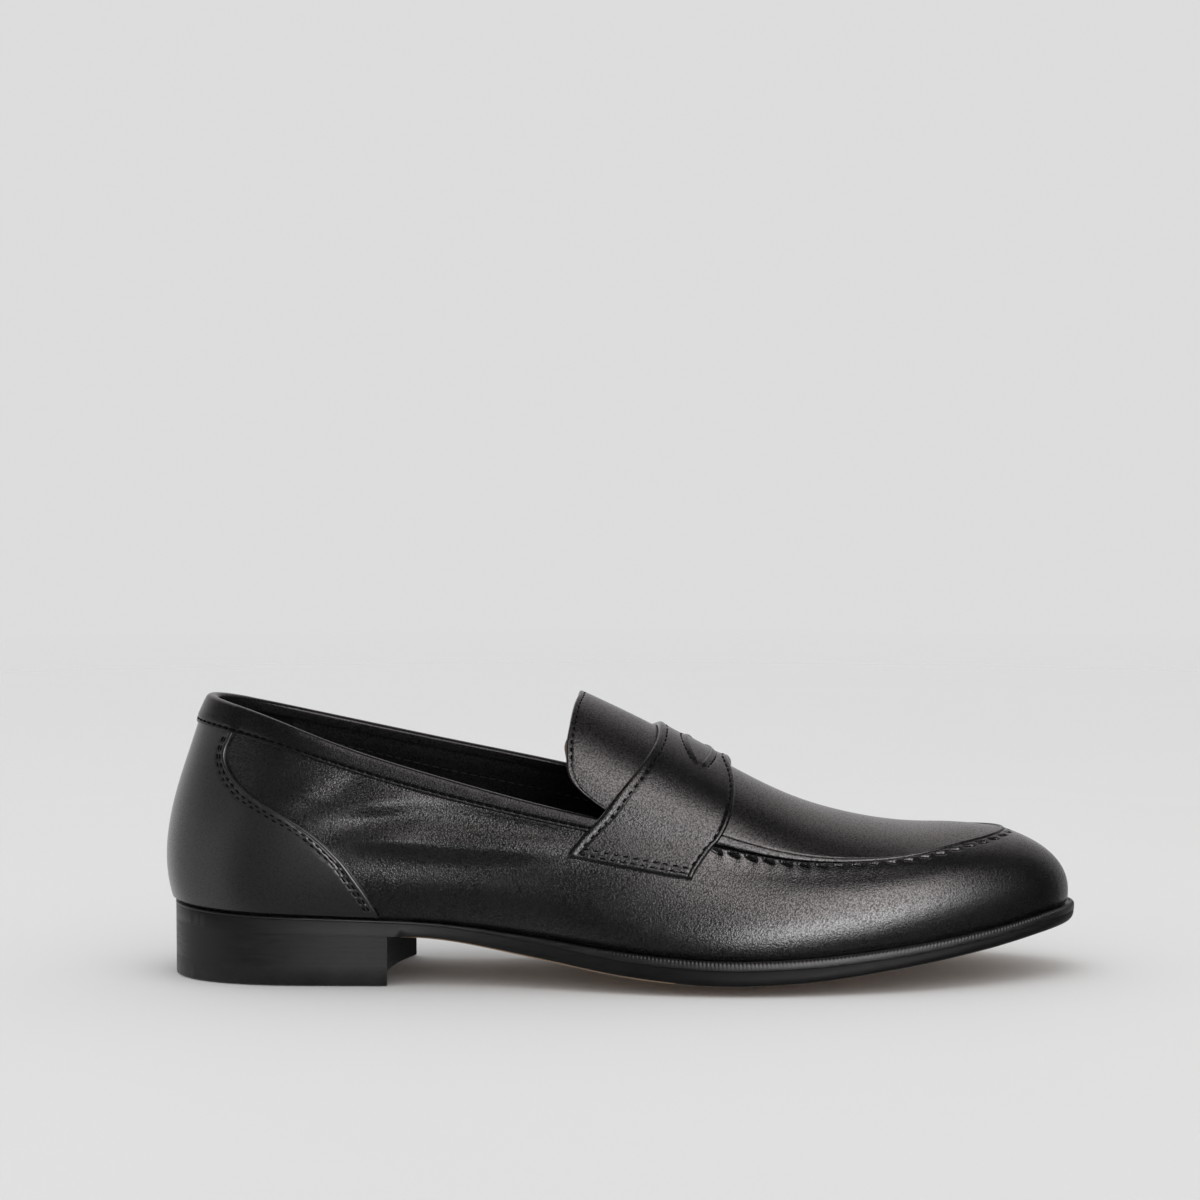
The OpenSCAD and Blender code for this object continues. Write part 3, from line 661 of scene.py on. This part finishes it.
def tongue_place(s):
    v = np.sin(np.radians(-64 + 128 * s))
    p, n = surface(skin, tongue_u(v) + .05, v)
    return p + n * -.14, n


tongue_row = stitch_row(tongue_place, 2.8)
piece("tongue_stitches", stitches([tongue_row], .5), thread_mat, "thread", ["tongue_stitching"])

# Apron and tongue. Rows follow the toe's edge, columns run from side to side.
FIRST_U, LAST_U = 5.45, 12.97
NEAR = np.array([0, .07, .2, .38, .62, .9, 1.2, 1.5, 1.8, 2.1, 2.5, 3.1, 4])
TOE_GAP = np.array([.002, .03, .09, .18, .3, .45, .62, .8, 1, 1.2, 1.45, 1.7, 1.95, 2.25, 2.6, 3.1, 3.7, 4.5])
LIP_COLS = np.array([0, .06, .16, .3, .46, .62, .8, .96, 1.08, 1.17, 1.25, 1.33, 1.42, 1.53, 1.68, 1.95,
                     2.4, 3.2, 4.6])
APRON_LENGTH = 143
tongue_rows = NEAR / APRON_LENGTH
toe_rows = (TOE - np.sqrt(TOE_GAP / 2) - FIRST_U) / (LAST_U - FIRST_U)
toe_rows = np.clip(toe_rows, 0, 1)[::-1]
rows = np.concatenate([tongue_rows, steps(tongue_rows[-1], toe_rows[0], 150)[1:-1], toe_rows])
middle_u = FIRST_U * (1 - rows) + LAST_U * rows
half = length(spline(EDGE_LOOP, middle_u) - spline(EDGE_LOOP, -middle_u)) / 2
side_gap = np.minimum(SEAM_GAP, half * .3)
scale = np.minimum(1, half / 8)
v_near = np.clip(1 - (side_gap[:, None] + LIP_COLS * scale[:, None]) / half[:, None], .02, 1)
angle = np.arcsin(v_near[:, -1])
v_mid = np.sin(angle[:, None] * np.linspace(-1, 1, 106)[None, 1:-1])
V = np.concatenate([-v_near, v_mid, v_near[:, ::-1]], 1)
U = tongue_u(V) * (1 - rows[:, None]) + LAST_U * rows[:, None]
P, N = surface(skin, U, V)
away, hit = nearest(P, seam_line)
to_rear = length(P - P[:1])
lip_q = seam_q[hit]
share = seam_share(lip_q)
side = away - SEAM_GAP
beat = np.cos(2*np.pi*seam_phase(lip_q))
# the lip rolls up from the seam, drops to a crease, and the apron comes back up slowly behind it
lip = np.sqrt(np.clip(LIP**2 - (side - LIP)**2, 0, None)) * (1 + .07 * beat)
shoulder = .04 + (LIP - .04) * np.sqrt(1 - np.clip((side - LIP) / .62, 0, 1)**2)
lip = np.where(side < LIP, lip, shoulder * (1 - fade(side, 1.4, 4)))
lip = lip - .14 * hill(side - 1.25, .16) - .14 * fade(side, 1, 1.2) * (1 - fade(side, 1.2, 14))
H = share * lip
H = H - (1 - share) * edge_drop(np.minimum(side, 3), .5)
rear = edge_drop(to_rear, .5) + .16 * hill(to_rear - 1.45, .3)
H = H - rear * (1 - fade(to_rear, 2, 3)) + .07 * slow_waves(P, 40, 8)
near_rows = len(NEAR) + 3       # the rows that the tongue's stitches can reach
H[:near_rows] -= press(P[:near_rows], [tongue_row], .25, .38)
outer = P + N * H[..., None]
inner = P - N * LEATHER
piece("apron_leather", sheet(outer, inner), apron_mat, "apron_leather", ["apron"])

# Tongue lining: its raw edge shows past the tongue.
V = np.sin(np.radians(steps(-69, 69, 90)))[None]
lining_gap = -.02 + .034 * hill(V + .78, .08)
S = np.concatenate([NEAR[:8] / 40, steps(.06, 1, 24)])[:, None]
U = (tongue_u(V) - lining_gap) * (1 - S) + 6.65 * S
low, high = -2.55, -1.45
P, N = surface(skin, U, V)
fray = .12 * slow_waves(P, 3, 4) * hill(S * 40, 2)
piece("tongue_lining_leather", sheet(P + N * (high + fray)[..., None], P + N * (low + fray)[..., None]),
      tongue_back, "tongue_lining_leather", ["tongue_lining"])

# Foxing

def fox_row(side, back):
    """Stitches that follow one edge of the foxing, a distance back from it."""
    def place(s):
        t = .06 + .81 * s
        q = foxing_q(t)
        step = length(wall(q, t) - wall(q - .05, t)) / .05
        d = np.stack([np.gradient(wall(q, t)[..., k]) for k in range(3)], -1)
        cross_k = length(np.cross(unit(wall(q, t) - wall(q - .05, t)), unit(d)))
        q = side * (q - back / step / np.maximum(cross_k, .35))
        return on_wall(q, t, GAP + FOXING - .12 + 0*t)
    return stitch_row(place, 3)


FOX_ROWS = 1.75, 2.95
FOX_COLS = np.array([0, .06, .16, .32, .55, .85, 1.2, 1.5, 1.8, 2.1, 2.4, 2.7, 3, 3.3, 4])
FOX_WIDTH = 132
fox_rows = [fox_row(side, back) for side in (-1, 1) for back in FOX_ROWS]
piece("foxing_stitches", stitches(fox_rows, THREAD), thread_mat, "thread", ["foxing_stitching"])
fox_t = np.concatenate([[.03, .034, .04, .05], steps(.06, .93, 165)])
F, T = np.meshgrid(spread(FOX_WIDTH, FOX_COLS, 84) / FOX_WIDTH * 2 - 1, fox_t)
Q = F * foxing_q(T)
P, N = surface(wall, Q, T)
reach = length(np.diff(P, axis=1))
reach = np.cumsum(np.pad(reach, ((0, 0), (1, 0))), 1)
to_edge = np.minimum(reach, reach[:, -1:] - reach)
fox_h = FOXING - edge_drop(to_edge, .55) + .06 * hill(to_edge - 1.1, .5) + .06 * slow_waves(P, 30, 11)
for back in FOX_ROWS:
    fox_h = fox_h - .2 * hill(to_edge - back, .3)
fox_h = fox_h - press(P + N * (GAP + FOXING - .1), fox_rows, .2, .34)
piece("heel_foxing_leather", sheet(P + N * (GAP + fox_h)[..., None], P + N * GAP), foxing_mat,
      "foxing_leather", ["heel_foxing"])

# Saddle strap
END_ROWS = 1.55, 3.6
REAR_ROW, FRONT_ROW, SLOT_ROW = 2.5, 1.75, 2.1
END_COLS = np.array([0, .06, .16, .3, .5, .75, 1.05, 1.35, 1.65, 2, 2.5, 3, 3.4, 3.8, 4.3, 5])
EDGE_COLS = np.array([0, .06, .16, .32, .52, .78, 1.1, 1.45, 1.8, 2.15, 2.5, 2.85, 3.2, 4])


def strap_at(x, w):
    """Points and normals on the strap's middle surface, as smooth as the strap itself."""
    p, n = surface(skin, station(x), strap_v(w))
    return p + n * (.25 * hill(np.abs(w) - 1, .12))[..., None], n


def strap_rows():
    """Rows of stitches: two at each end, one along each edge, and one on each side of the slot."""
    rows = []
    for side in (-1, 1):
        for w in np.interp(END_ROWS, mid_way, mid_w) * -side:
            def end_place(s):
                a, b = strap_x(w, 0) + 2.9, strap_x(w, 1) - 2.1
                p, n = strap_at(a * (1 - s) + b * s, w + 0*s)
                return p + n * (GAP + STRAP - .28), n
            rows.append(stitch_row(end_place, 3.2))
        last = abs(np.interp(3.9, mid_way, mid_w))
        for edge, back, h in ((0, REAR_ROW, .3), (1, -FRONT_ROW, .75)):
            def edge_place(s):
                w = side * (.02 + (last - .02) * s)
                x = strap_x(w, edge)
                x = x + back / np.maximum(np.interp(w, strap_w, slopes[edge]), .5)
                p, n = strap_at(x, w)
                return p + n * (GAP + STRAP - .28 + h * hill(w, .22))[..., None], n
            rows.append(stitch_row(edge_place, 3.2))
    for end in (-1, 1):
        def slot_place(s):
            v = SLOT_V * (2*s - 1) * .93
            w = np.degrees(np.arcsin(v)) / 90
            p, n = strap_at(SLOT_X + end * (slot_half(v) + SLOT_ROW), w)
            return p + n * (GAP + STRAP - .2), n
        rows.append(stitch_row(slot_place, 2.6))
    return rows


mid_w = steps(-STRAP_V, STRAP_V, 600)
mid_x = (strap_x(mid_w, 0) + strap_x(mid_w, 1)) / 2
mid_way = walk(skin(station(mid_x), strap_v(mid_w)))
row_d = spread(mid_way[-1], END_COLS, 230)
strap_w = np.interp(row_d, mid_way, mid_w)
strap_vs = strap_v(strap_w)
rear_x, front_x = strap_x(strap_w, 0), strap_x(strap_w, 1)
gap = slot_half(strap_vs)
open_slot = np.abs(strap_vs) < SLOT_V
parting = fade(np.abs(strap_w), .4, 1)
parting = SLOT_X * (1 - parting) + (.35 * rear_x + .65 * front_x) * parting
behind = rear_x[:, None] + spread(parting - gap - rear_x, EDGE_COLS, 38)
ahead = (parting + gap)[:, None] + spread(front_x - parting - gap, EDGE_COLS, 14)
X = np.concatenate([behind, ahead], 1)
W = np.broadcast_to(strap_w[:, None], X.shape)
P, N = surface(skin, station(X), strap_v(W))
for _ in range(30):
    P[1:-1] += .25 * (P[:-2] - 2*P[1:-1] + P[2:])
    N[1:-1] += .25 * (N[:-2] - 2*N[1:-1] + N[2:])
N = unit(N)
P += N * .25 * hill(np.abs(W) - 1, .12)[..., None]
slopes = [np.cos(np.arctan2(np.gradient(x), np.gradient(row_d))) for x in (rear_x, front_x)]
to_rear, to_front = (X - rear_x[:, None]) * slopes[0][:, None], (front_x[:, None] - X) * slopes[1][:, None]
to_end = np.minimum(row_d, row_d[-1] - row_d)[:, None]
to_slot = np.abs(np.abs(X - SLOT_X) - gap[:, None])
slot_share = (fade(SLOT_V - np.abs(strap_vs), 0, .08) * open_slot)[:, None]
H = -edge_drop(to_rear, .85) - edge_drop(to_front, .85) - edge_drop(to_end, .85)
H = H - .22 * hill(to_front - FRONT_ROW, .3) - .22 * hill(to_rear - REAR_ROW, .3) * fade(to_end, 1.2, 1.6)
between = fade(to_rear, 1.9, 2.4) * fade(to_front, 1.3, 1.7)
for back in END_ROWS:
    H = H - .22 * hill(to_end - back, .3) * between
H = H + .1 * hill(to_front - .8, .5) + .12 * hill(to_rear - 1.2, .7)
H = H + slot_share * (.75 * hill(to_slot, 1.5) - edge_drop(to_slot, .5) - .2 * hill(to_slot - SLOT_ROW, .3))
top_share = hill(strap_w, .22)[:, None]
lift = .9 * top_share * hill(to_front, 3) + .5 * top_share * hill(to_rear, 3)
H = H + lift + .06 * slow_waves(P, 30, 13)
keep = np.ones((X.shape[0] - 1, X.shape[1] - 1), bool)
keep[:, behind.shape[1] - 1] = ~(open_slot[:-1] & open_slot[1:])
rows_of_strap = strap_rows()
H = H - press(P + N * (GAP + STRAP), rows_of_strap, .2, .4)
strap_top = P + N * (GAP + STRAP + H)[..., None]
under_lift = (lift + slot_share * .7 * hill(to_slot, 1.5))[..., None]
piece("strap_leather", sheet(strap_top, P + N * (GAP + under_lift)), strap_mat, "strap_leather",
      ["saddle_strap"])
piece("strap_stitches", stitches(rows_of_strap, .68), thread_mat, "thread", ["strap_stitching"])

# Binding, folded over the topline. mm_t turns millimetres into the wall's own height.
BIND_LOW, BIND_ROW = .885, 1.35
bind_q = steps(-5.95, 5.95, 840)
topline = wall(bind_q, 1 + 0*bind_q)
bind_len = length(topline - wall(bind_q, BIND_LOW + 0*bind_q))
mm_t = (1 - BIND_LOW) / bind_len


def over_foxing(q):
    return 1.25 * (1 - fade(np.abs(q), 1.42, 1.62))


def bind_place(s):
    q = -5.9 + 11.8 * s
    return on_wall(q, BIND_LOW + BIND_ROW * np.interp(q, bind_q, mm_t), .74 + over_foxing(q))


bind_row = stitch_row(bind_place, 3.1)
piece("topline_stitches", stitches([bind_row], THREAD), thread_mat, "thread", ["topline_stitching"])
over_fox = over_foxing(bind_q)
pleat = .12 * slow_waves(topline, 26, 21) + .05 * slow_waves(topline, 7, 22)
section = []
for y, h in ((0, .05), (0, .42), (.08, .62), (.22, .76), (.42, .85), (.7, .88), (1, .84), (1.2, .66),
             (BIND_ROW, .58), (1.5, .66), (1.75, .86), (2.1, .92), (2.8, .95)):
    section.append((BIND_LOW + y * mm_t, h + over_fox))
for f in (.25, .5, .75):
    section.append((BIND_LOW + (2.8 + f * (bind_len - 3.2)) * mm_t,
                    .95 - .25*f + over_fox * (1 - .45*f) + pleat * f))
near_row = len(section)
roll_mid, roll_r = (over_fox * .5 - 2.28) / 2, (over_fox * .5 + 3.52) / 2
for a in range(15, 166, 15):
    c, d = compass(a)
    section.append((1 - .4 * mm_t + 1.45 * d * mm_t, roll_mid + roll_r * c + pleat * .5 * d))
for y, h in ((.6, -2.95), (1.2, -3.02), (1.9, -3.1), (2.5, -3.16), (2.75, -3.12), (2.8, -2.95), (2.8, -2.7)):
    section.append((1 - y * mm_t, h + 0*mm_t))
outer_t, outer_h = (np.stack([row[k] + 0*bind_q for row in section], 1) for k in (0, 1))
# the inside lies on the wall and its lining, and follows the roll
inner_t = np.where(outer_t > .99, .99, np.maximum(outer_t, BIND_LOW))
inner_h = np.where(outer_h > -1.2, np.maximum(outer_h - .8, GAP + over_fox[:, None]), -2.6)
inner_h = np.where(outer_t > .995, np.clip(outer_h, -2.5, over_fox[:, None]), inner_h)
Q = np.broadcast_to(bind_q[:, None], outer_t.shape)
near = np.s_[:, :near_row]
outer_h[near] -= press(raised(wall, Q[near], outer_t[near], outer_h[near]), [bind_row], .25, .38)


def shaded_collar_faces(n, p):
    """Faces of the binding that look into the shoe. They take the darker, duller lining leather as painted
    shade inside the collar.
    """
    out = np.stack([p[:, 0] - np.clip(p[:, 0], -118, -10), p[:, 1] - 3], 1)
    return ((n[:, :2] * unit(out)).sum(1) < -.6) & (n[:, 2] < .3)


# Painted shade: the binding's inward faces use the darker lining leather to stand in for the shade inside the
# collar.
piece("topline_binding_leather", sheet(raised(wall, Q, outer_t, outer_h), raised(wall, Q, inner_t, inner_h)),
      binding_mat, "binding_leather", ["topline_binding"], also=((lining_mat, shaded_collar_faces),))

# Linings
LINING_OUT, LINING_IN = -2.2, -3.2


def lining(name, f, a, b, material, slot, node, seed):
    A, B = np.meshgrid(a, b, indexing="ij")
    p, n = surface(f, A, B)
    wave = (.12 * slow_waves(p, 22, seed))[..., None]
    thin = (.75 * fade(B, .88, .97))[..., None] if f is wall else 0
    piece(name, sheet(p + n * (LINING_OUT + thin), p + n * (LINING_IN + wave + thin)), material, slot, [node])


lining("heel_lining_suede", wall, steps(-2.19, 2.19, 60), steps(.04, .985, 40), suede, "heel_grip_suede",
       "heel_lining", 31)
lining("quarter_lining_lateral_leather", wall, steps(2.19, 6.75, 60), steps(.04, .985, 30), lining_mat,
       "lining_leather", "quarter_lining_lateral", 32)
lining("quarter_lining_medial_leather", wall, steps(-6.75, -2.19, 60), steps(.04, .985, 30), lining_mat,
       "lining_leather", "quarter_lining_medial", 33)
lining("vamp_lining_leather", skin, steps(6.8, 12.9, 70), steps(-1.96, 1.96, 90), lining_mat,
       "lining_leather", "vamp_lining", 34)


# ---- Bottom ----

def tips(a, b, n):
    """Stations from a to b, close together at both ends."""
    return a + (b - a) * (.5 - .5 * np.cos(np.pi * steps(0, 1, n)))


CROSS = 1 - np.array([0, .004, .012, .026, .045, .07, .1, .14, .2, .28, .4, .55, .75, 1])
CROSS = np.concatenate([-CROSS, CROSS[::-1][1:]])


def rounded_plate(name, u, low, high, line, r_low, r_high, material, slot, nodes, out=None, place=None,
                  **more):
    """Plate between two heights, with rounded edges along a closed outline."""
    U, R = np.meshgrid(u, CROSS, indexing="ij")
    base = place(U, R) if place else across(U, R, sole_out(U) if out is None else out)
    away, _ = nearest(base, line)
    top, under = base.copy(), base.copy()
    top[..., 2] = high(U, R, base) - edge_drop(away, r_high)
    under[..., 2] = low(U, R, base) + edge_drop(away, r_low(base[..., 0]) if callable(r_low) else r_low)
    return piece(name, sheet(top, under), material, slot, nodes, **more)


sole_q = steps(0, LOOP, 12000)
sole_line = beside(sole_q, sole_out(sole_q), 0)


def half_width(u):
    return length(across(u, 1, 0) - across(u, -1, 0)) / 2


def inside(u, margin):
    return np.maximum(.1, 1 - (sole_out(u) + margin) / (half_width(u) + sole_out(u)))


def sole_high(u, r, base):
    s = profile(base[..., 0])
    return s[..., 0] - s[..., 1] - s[..., 3] * np.clip(1 - (r / inside(u, 6))**2, 0, None) - .03


def sole_under(u, r, base):
    s = profile(base[..., 0])
    z = s[..., 0] - s[..., 1] - s[..., 2] - s[..., 3] * (1 - r*r)
    ridge = .12 * hill((1 - np.abs(r)) * half_width(u) - 5, .5)
    return np.maximum(z, 0) + ridge * fade(u, 4.1, 4.4) * (1 - fade(u, 12, 12.5))


def sole_round(x):
    """Radius of the sole's lower edge: sharp over the heel, and rounder towards the toe."""
    return .03 + .87 * fade(x, -74, -66) + .9 * fade(x, 60, 140) + 1.4 * fade(x, 138, 150)


def sole_face(n, p):
    """Faces of the underside, which isn't inked."""
    return n[:, 2] < -.55 - .37 * fade(p[:, 0], 5, 30)


rounded_plate("outsole_leather", tips(.03, TOE - .03, 260), sole_under, sole_high, sole_line, sole_round, .14,
              sole_mat, "sole_edge", ["outsole"], sharp=80, also=((tan, sole_face),))

# Welt: a bead with a wheeled pattern on its upper edge
WHEEL_PITCH = 1.3
welt_q = steps(-3.99, -3.99 + LOOP - .04, 3200)
w_out, w_x = sole_out(welt_q), spline(FEATHER_LOOP, welt_q)[..., 0]
w_t = profile(w_x)[..., 1]
wheel = walk(beside(welt_q, w_out, 0)) / WHEEL_PITCH
fore = fade(w_x, -55, -25)
notch = .2 * fade(w_x, -30, 15) * np.clip(np.cos(2*np.pi * wheel), -.2, 1)
bead_r = np.minimum(1.1, .46 * w_t)
section = [(o, -.03) for o in (-5.9, -3, -1)]
section += [(o, -.03 - .6 * fore) for o in (-.5, .25 * w_out, .4 * w_out)]
for a in (90, 70, 52, 36, 20, 6, -10, -30, -52, -74, -90):
    c, d = compass(a)
    r = bead_r if a > 0 else .16
    dent = notch * math.exp(-((a - 38) / 26)**2)
    up = -.05 - r * (1 - d) if a > 0 else -w_t + r * (1 + d)
    section.append((w_out + .12 - r * 1.15 * (1 - c) - dent * .6, up - dent))
section += [(o, -w_t + .03) for o in (-1, -5.9)]
pts = np.stack([beside(welt_q, o, h) for o, h in section], 1)
piece("welt_leather", ring_tube(pts), welt_mat, "welt_leather", ["welt"], sharp=70)

# Heel: lifts, seat lift and rubber top piece
heel_q = steps(-BREAST_MEDIAL, BREAST_LATERAL, 900)
heel_arc = beside(heel_q, sole_out(heel_q), 0)
breast_h = steps(0, 1, 200)[:, None]
breast = heel_arc[-1] + (heel_arc[0] - heel_arc[-1]) * breast_h
breast[:, :1] -= 4 * BREAST_HOLLOW * breast_h * (1 - breast_h)
heel_line = np.concatenate([heel_arc, breast])
heel_u = .03 + .97 * (1 - np.cos(steps(0, math.pi / 2, 60)))
heel_u = np.unique(np.clip(np.append(heel_u, [.998, .996, .992]), .03, 1))


def heel_place(f, r):
    h = ((r + 1) / 2)[..., None]
    l, m = f * BREAST_LATERAL, -f * BREAST_MEDIAL
    p = beside(l, sole_out(l), 0) * (1 - h) + beside(m, sole_out(m), 0) * h
    p[..., 0] -= BREAST_HOLLOW * (1 - r*r) * f*f
    return p


def flat(z):
    return lambda u, r, base: z + 0*base[..., 2]


def seat_high(u, r, base):
    s = profile(base[..., 0])
    return s[..., 0] - s[..., 1] - s[..., 2] - .02


# The heel's faces that look towards the toe (the breast) take the painted-shade ink.
def heel_part(name, low, high, r_low, material, slot, node):
    rounded_plate(name, heel_u, low, high, heel_line, r_low, SHUT, material, slot, [node], place=heel_place,
                  sharp=60, also=((breast_shade_mat, lambda n, p: n[:, 0] > .7),))


SHUT = .02      # edge radius where two layers of the heel meet
top, lower, upper_lift = (flat(TOP_PIECE + k * LIFT) for k in range(3))
heel_part("heel_top_piece_rubber", flat(0), top, .45, rubber, "heel_rubber", "heel_top_piece")
heel_part("heel_lift_lower_leather", top, lower, SHUT, lift_mat, "sole_edge", "heel_lift_lower")
heel_part("heel_lift_upper_leather", lower, upper_lift, SHUT, lift_mat, "sole_edge", "heel_lift_upper")
heel_part("heel_seat_lift_leather", upper_lift, seat_high, SHUT, lift_mat, "sole_edge", "heel_seat_lift")


# Sock liner and heel pad

def pad_h(x):
    """Thickness of the heel pad, thinning out under the arch."""
    return np.clip(2.4 * (-50 - x) / 25, .3, 2.4)


def level(up):
    return lambda u, r, base: rise(base[..., 0]) + up(base[..., 0])


def inner_line(from_u, to_u, out):
    u = steps(from_u, to_u, 900)
    return np.concatenate([across(u, -1, out), across(u[::-1], 1, out)])


def inner_part(name, a, b, out, low, high, material, slot, node, r=.4):
    return rounded_plate(name, tips(a, b, 90), level(low), level(high), inner_line(a, b, out), .1, r,
                         material, slot, [node], out=out, sharp=60)


inner_part("sock_liner_leather", .25, 12.7, -3.6, lambda x: 4.3 + pad_h(x), lambda x: 5.3 + pad_h(x),
           sock_mat, "sock_leather", "sock_liner")
pad = inner_part("heel_pad_foam", .5, 4.2, -6.6, lambda x: 4.2 + 0*x, lambda x: 4.18 + pad_h(x), foam,
                 "foam", "heel_pad", r=.25)


# ---- Hand stitches of the apron, and the stitched line of the lining ----

def hand_row():
    """One stitch in each pit of the wall, slanted as the pit is."""
    middle = np.arange(seam_n) + .5
    ends = []
    for shift in (-1.25, 1.25):
        q = np.interp(middle + shift / SEAM_PITCH, seam_phase(seam_q), seam_q)
        high, low = wall(q, np.ones_like(q)), wall(q, np.full_like(q, .95))
        t = 1 - .05 * (PIT_DOWN + PIT_SLOPE * shift) / length(high - low)
        p, n = surface(wall, q, t)
        ends.append(p + n * (seam_rise(p[:, :1]) - .55))
    return ends[0], ends[1], n


piece("apron_stitches", stitches([hand_row()], .7), hand_mat, "hand_thread", ["apron_stitching"])


def lining_row(side):
    def place(s):
        p, n = surface(wall, side * (2.75 + 3 * s), .86 - .1 * s)
        return p + n * (LINING_IN - .02), -n
    return stitch_row(place, 3.2, .68)


piece("lining_stitches", stitches([lining_row(-1), lining_row(1)], .36), grey_mat, "thread")

# ---- CAD nodes that stay ----

for node, material in (("shank", steel), ("bottom_filler", cork), ("insole", insole_mat), ("toe_puff", stiff),
                       ("heel_counter", stiff), ("heel_nails", brass)):
    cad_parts[node].data.materials.clear()
    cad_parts[node].data.materials.append(material)

# ---- Studio ----

scene = bpy.context.scene
scene.view_settings.view_transform = "Standard"
PALE, DOME = .72, .765        # background that the camera sees, and matt light
WINDOW, ROOM, ROOM_BACK, ROOM_HEEL = 4.35, .025, .7, .5


def studio_floor():
    mesh = bpy.data.meshes.new("floor")
    n, radius = 96, 3.2
    a = np.arange(n) * 2 * math.pi / n
    pts = [(0, 0, -.0002)] + [(radius * math.cos(x), radius * math.sin(x), -.0002) for x in a]
    mesh.from_pydata(pts, [], [(0, i + 1, (i + 1) % n + 1) for i in range(n)])
    obj = bpy.data.objects.new("floor", mesh)
    scene.collection.objects.link(obj)
    mat, tree, bsdf, pos = new_material("floor_paint")
    paint = mixed(tree, ranged(tree, noise(tree, pos, 4, 2), .3, .7, 0, 1), grey(.79), grey(.8))
    feed(tree, bsdf, {"Base Color": paint, "Roughness": .85, "Specular IOR Level": .1})
    away = add(tree, "ShaderNodeVectorMath", {0: pos}, operation="LENGTH").outputs["Value"]
    clear = add(tree, "ShaderNodeBsdfTransparent").outputs[0]
    mix = add(tree, "ShaderNodeMixShader", {0: ranged(tree, away, .5, 1.3, 0, 1), 1: bsdf.outputs[0],
                                            2: clear})
    tree.links.new(mix.outputs[0], tree.nodes["Material Output"].inputs["Surface"])
    mesh.materials.append(mat)
    obj.visible_glossy = False


def overhead_fill():
    data = bpy.data.lights.new("overhead_fill", "AREA")
    data.shape, data.size, data.size_y, data.energy = "RECTANGLE", 1.6, 1.2, 6
    obj = bpy.data.objects.new("overhead_fill", data)
    obj.location = (-.1, -.1, 1.6)
    obj.rotation_euler = (Vector((0, 0, .04)) - obj.location).to_track_quat("-Z", "Y").to_euler()
    obj.visible_camera = obj.visible_glossy = False
    scene.collection.objects.link(obj)


def studio_world():
    """Even white dome for matt light, and a room for the gloss, drawn by direction: a tall slanted window
    at the toe's side with a low one under it, a pale wall behind and a paler corner by the heel.
    turn_z is the angle round the shoe, from its outer side towards the toe."""
    world = bpy.data.worlds.new("studio")
    world.use_nodes = True
    world.cycles.sampling_method = "NONE"
    scene.world = world
    tree = world.node_tree
    path = add(tree, "ShaderNodeLightPath")
    way = add(tree, "ShaderNodeTexCoord").outputs["Generated"]
    x, y, z = add(tree, "ShaderNodeSeparateXYZ", {0: way}).outputs

    def ramp(value, a, b, level=1.0):
        return add(tree, "ShaderNodeMapRange", {"Value": value, "From Min": a, "From Max": b, "To Min": 0,
                   "To Max": level}, interpolation_type="SMOOTHSTEP").outputs[0]

    def product(*values):
        out = values[0]
        for v in values[1:]:
            out = calc(tree, "MULTIPLY", out, v)
        return out

    turn_z = calc(tree, "ARCTAN2", x, calc(tree, "MULTIPLY", y, -1))
    slanted = calc(tree, "SUBTRACT", z, calc(tree, "MULTIPLY", turn_z, .3))
    window = product(ramp(turn_z, .05, .2, WINDOW), ramp(turn_z, 1.1, .9), ramp(slanted, -.36, -.24),
                     ramp(z, 1, .78))
    low_window = product(ramp(turn_z, -.06, .1, .82 * WINDOW), ramp(turn_z, .9, .5), ramp(slanted, -.32, -.2),
                         ramp(z, .4, .1))
    heel_side = product(ramp(turn_z, -.78, -1, ROOM_HEEL), ramp(z, .36, .16))
    behind = product(ramp(y, .3, .65, ROOM_BACK), ramp(z, .9, .7),
                     calc(tree, "SUBTRACT", 1, ramp(x, .1, .5, .5)))
    below = ramp(z, -.35, -.7, .08)
    gloss = window
    for other in (heel_side, behind, below):
        gloss = calc(tree, "MAXIMUM", gloss, other)
    for more in (low_window, ramp(turn_z, .1, -.15, .06), ROOM):
        gloss = calc(tree, "ADD", gloss, more)
    warm = calc(tree, "ADD", ramp(z, .1, .6, .07), 1.01)
    gloss = add(tree, "ShaderNodeCombineColor", {0: calc(tree, "MULTIPLY", gloss, warm), 1: gloss,
                                                 2: gloss}).outputs[0]
    lit = mixed(tree, path.outputs["Is Glossy Ray"], grey(DOME), gloss)
    seen = mixed(tree, path.outputs["Is Camera Ray"], lit, (PALE, PALE, PALE * 1.01, 1))
    feed(tree, tree.nodes["Background"], {"Color": seen})


studio_floor()
studio_world()
overhead_fill()

# The photo's view: a long lens from the shoe's outer side, a little above it
camera = bpy.data.cameras.new("camera")
camera.lens, camera.sensor_width = 125.75, 36
camera.clip_start, camera.clip_end = .05, 20
cam = bpy.data.objects.new("camera", camera)
cam.location = (-.0075, -1.3886, .2389)
cam.rotation_euler = (math.radians(85.277), 0, 0)
scene.collection.objects.link(cam)
scene.camera = cam
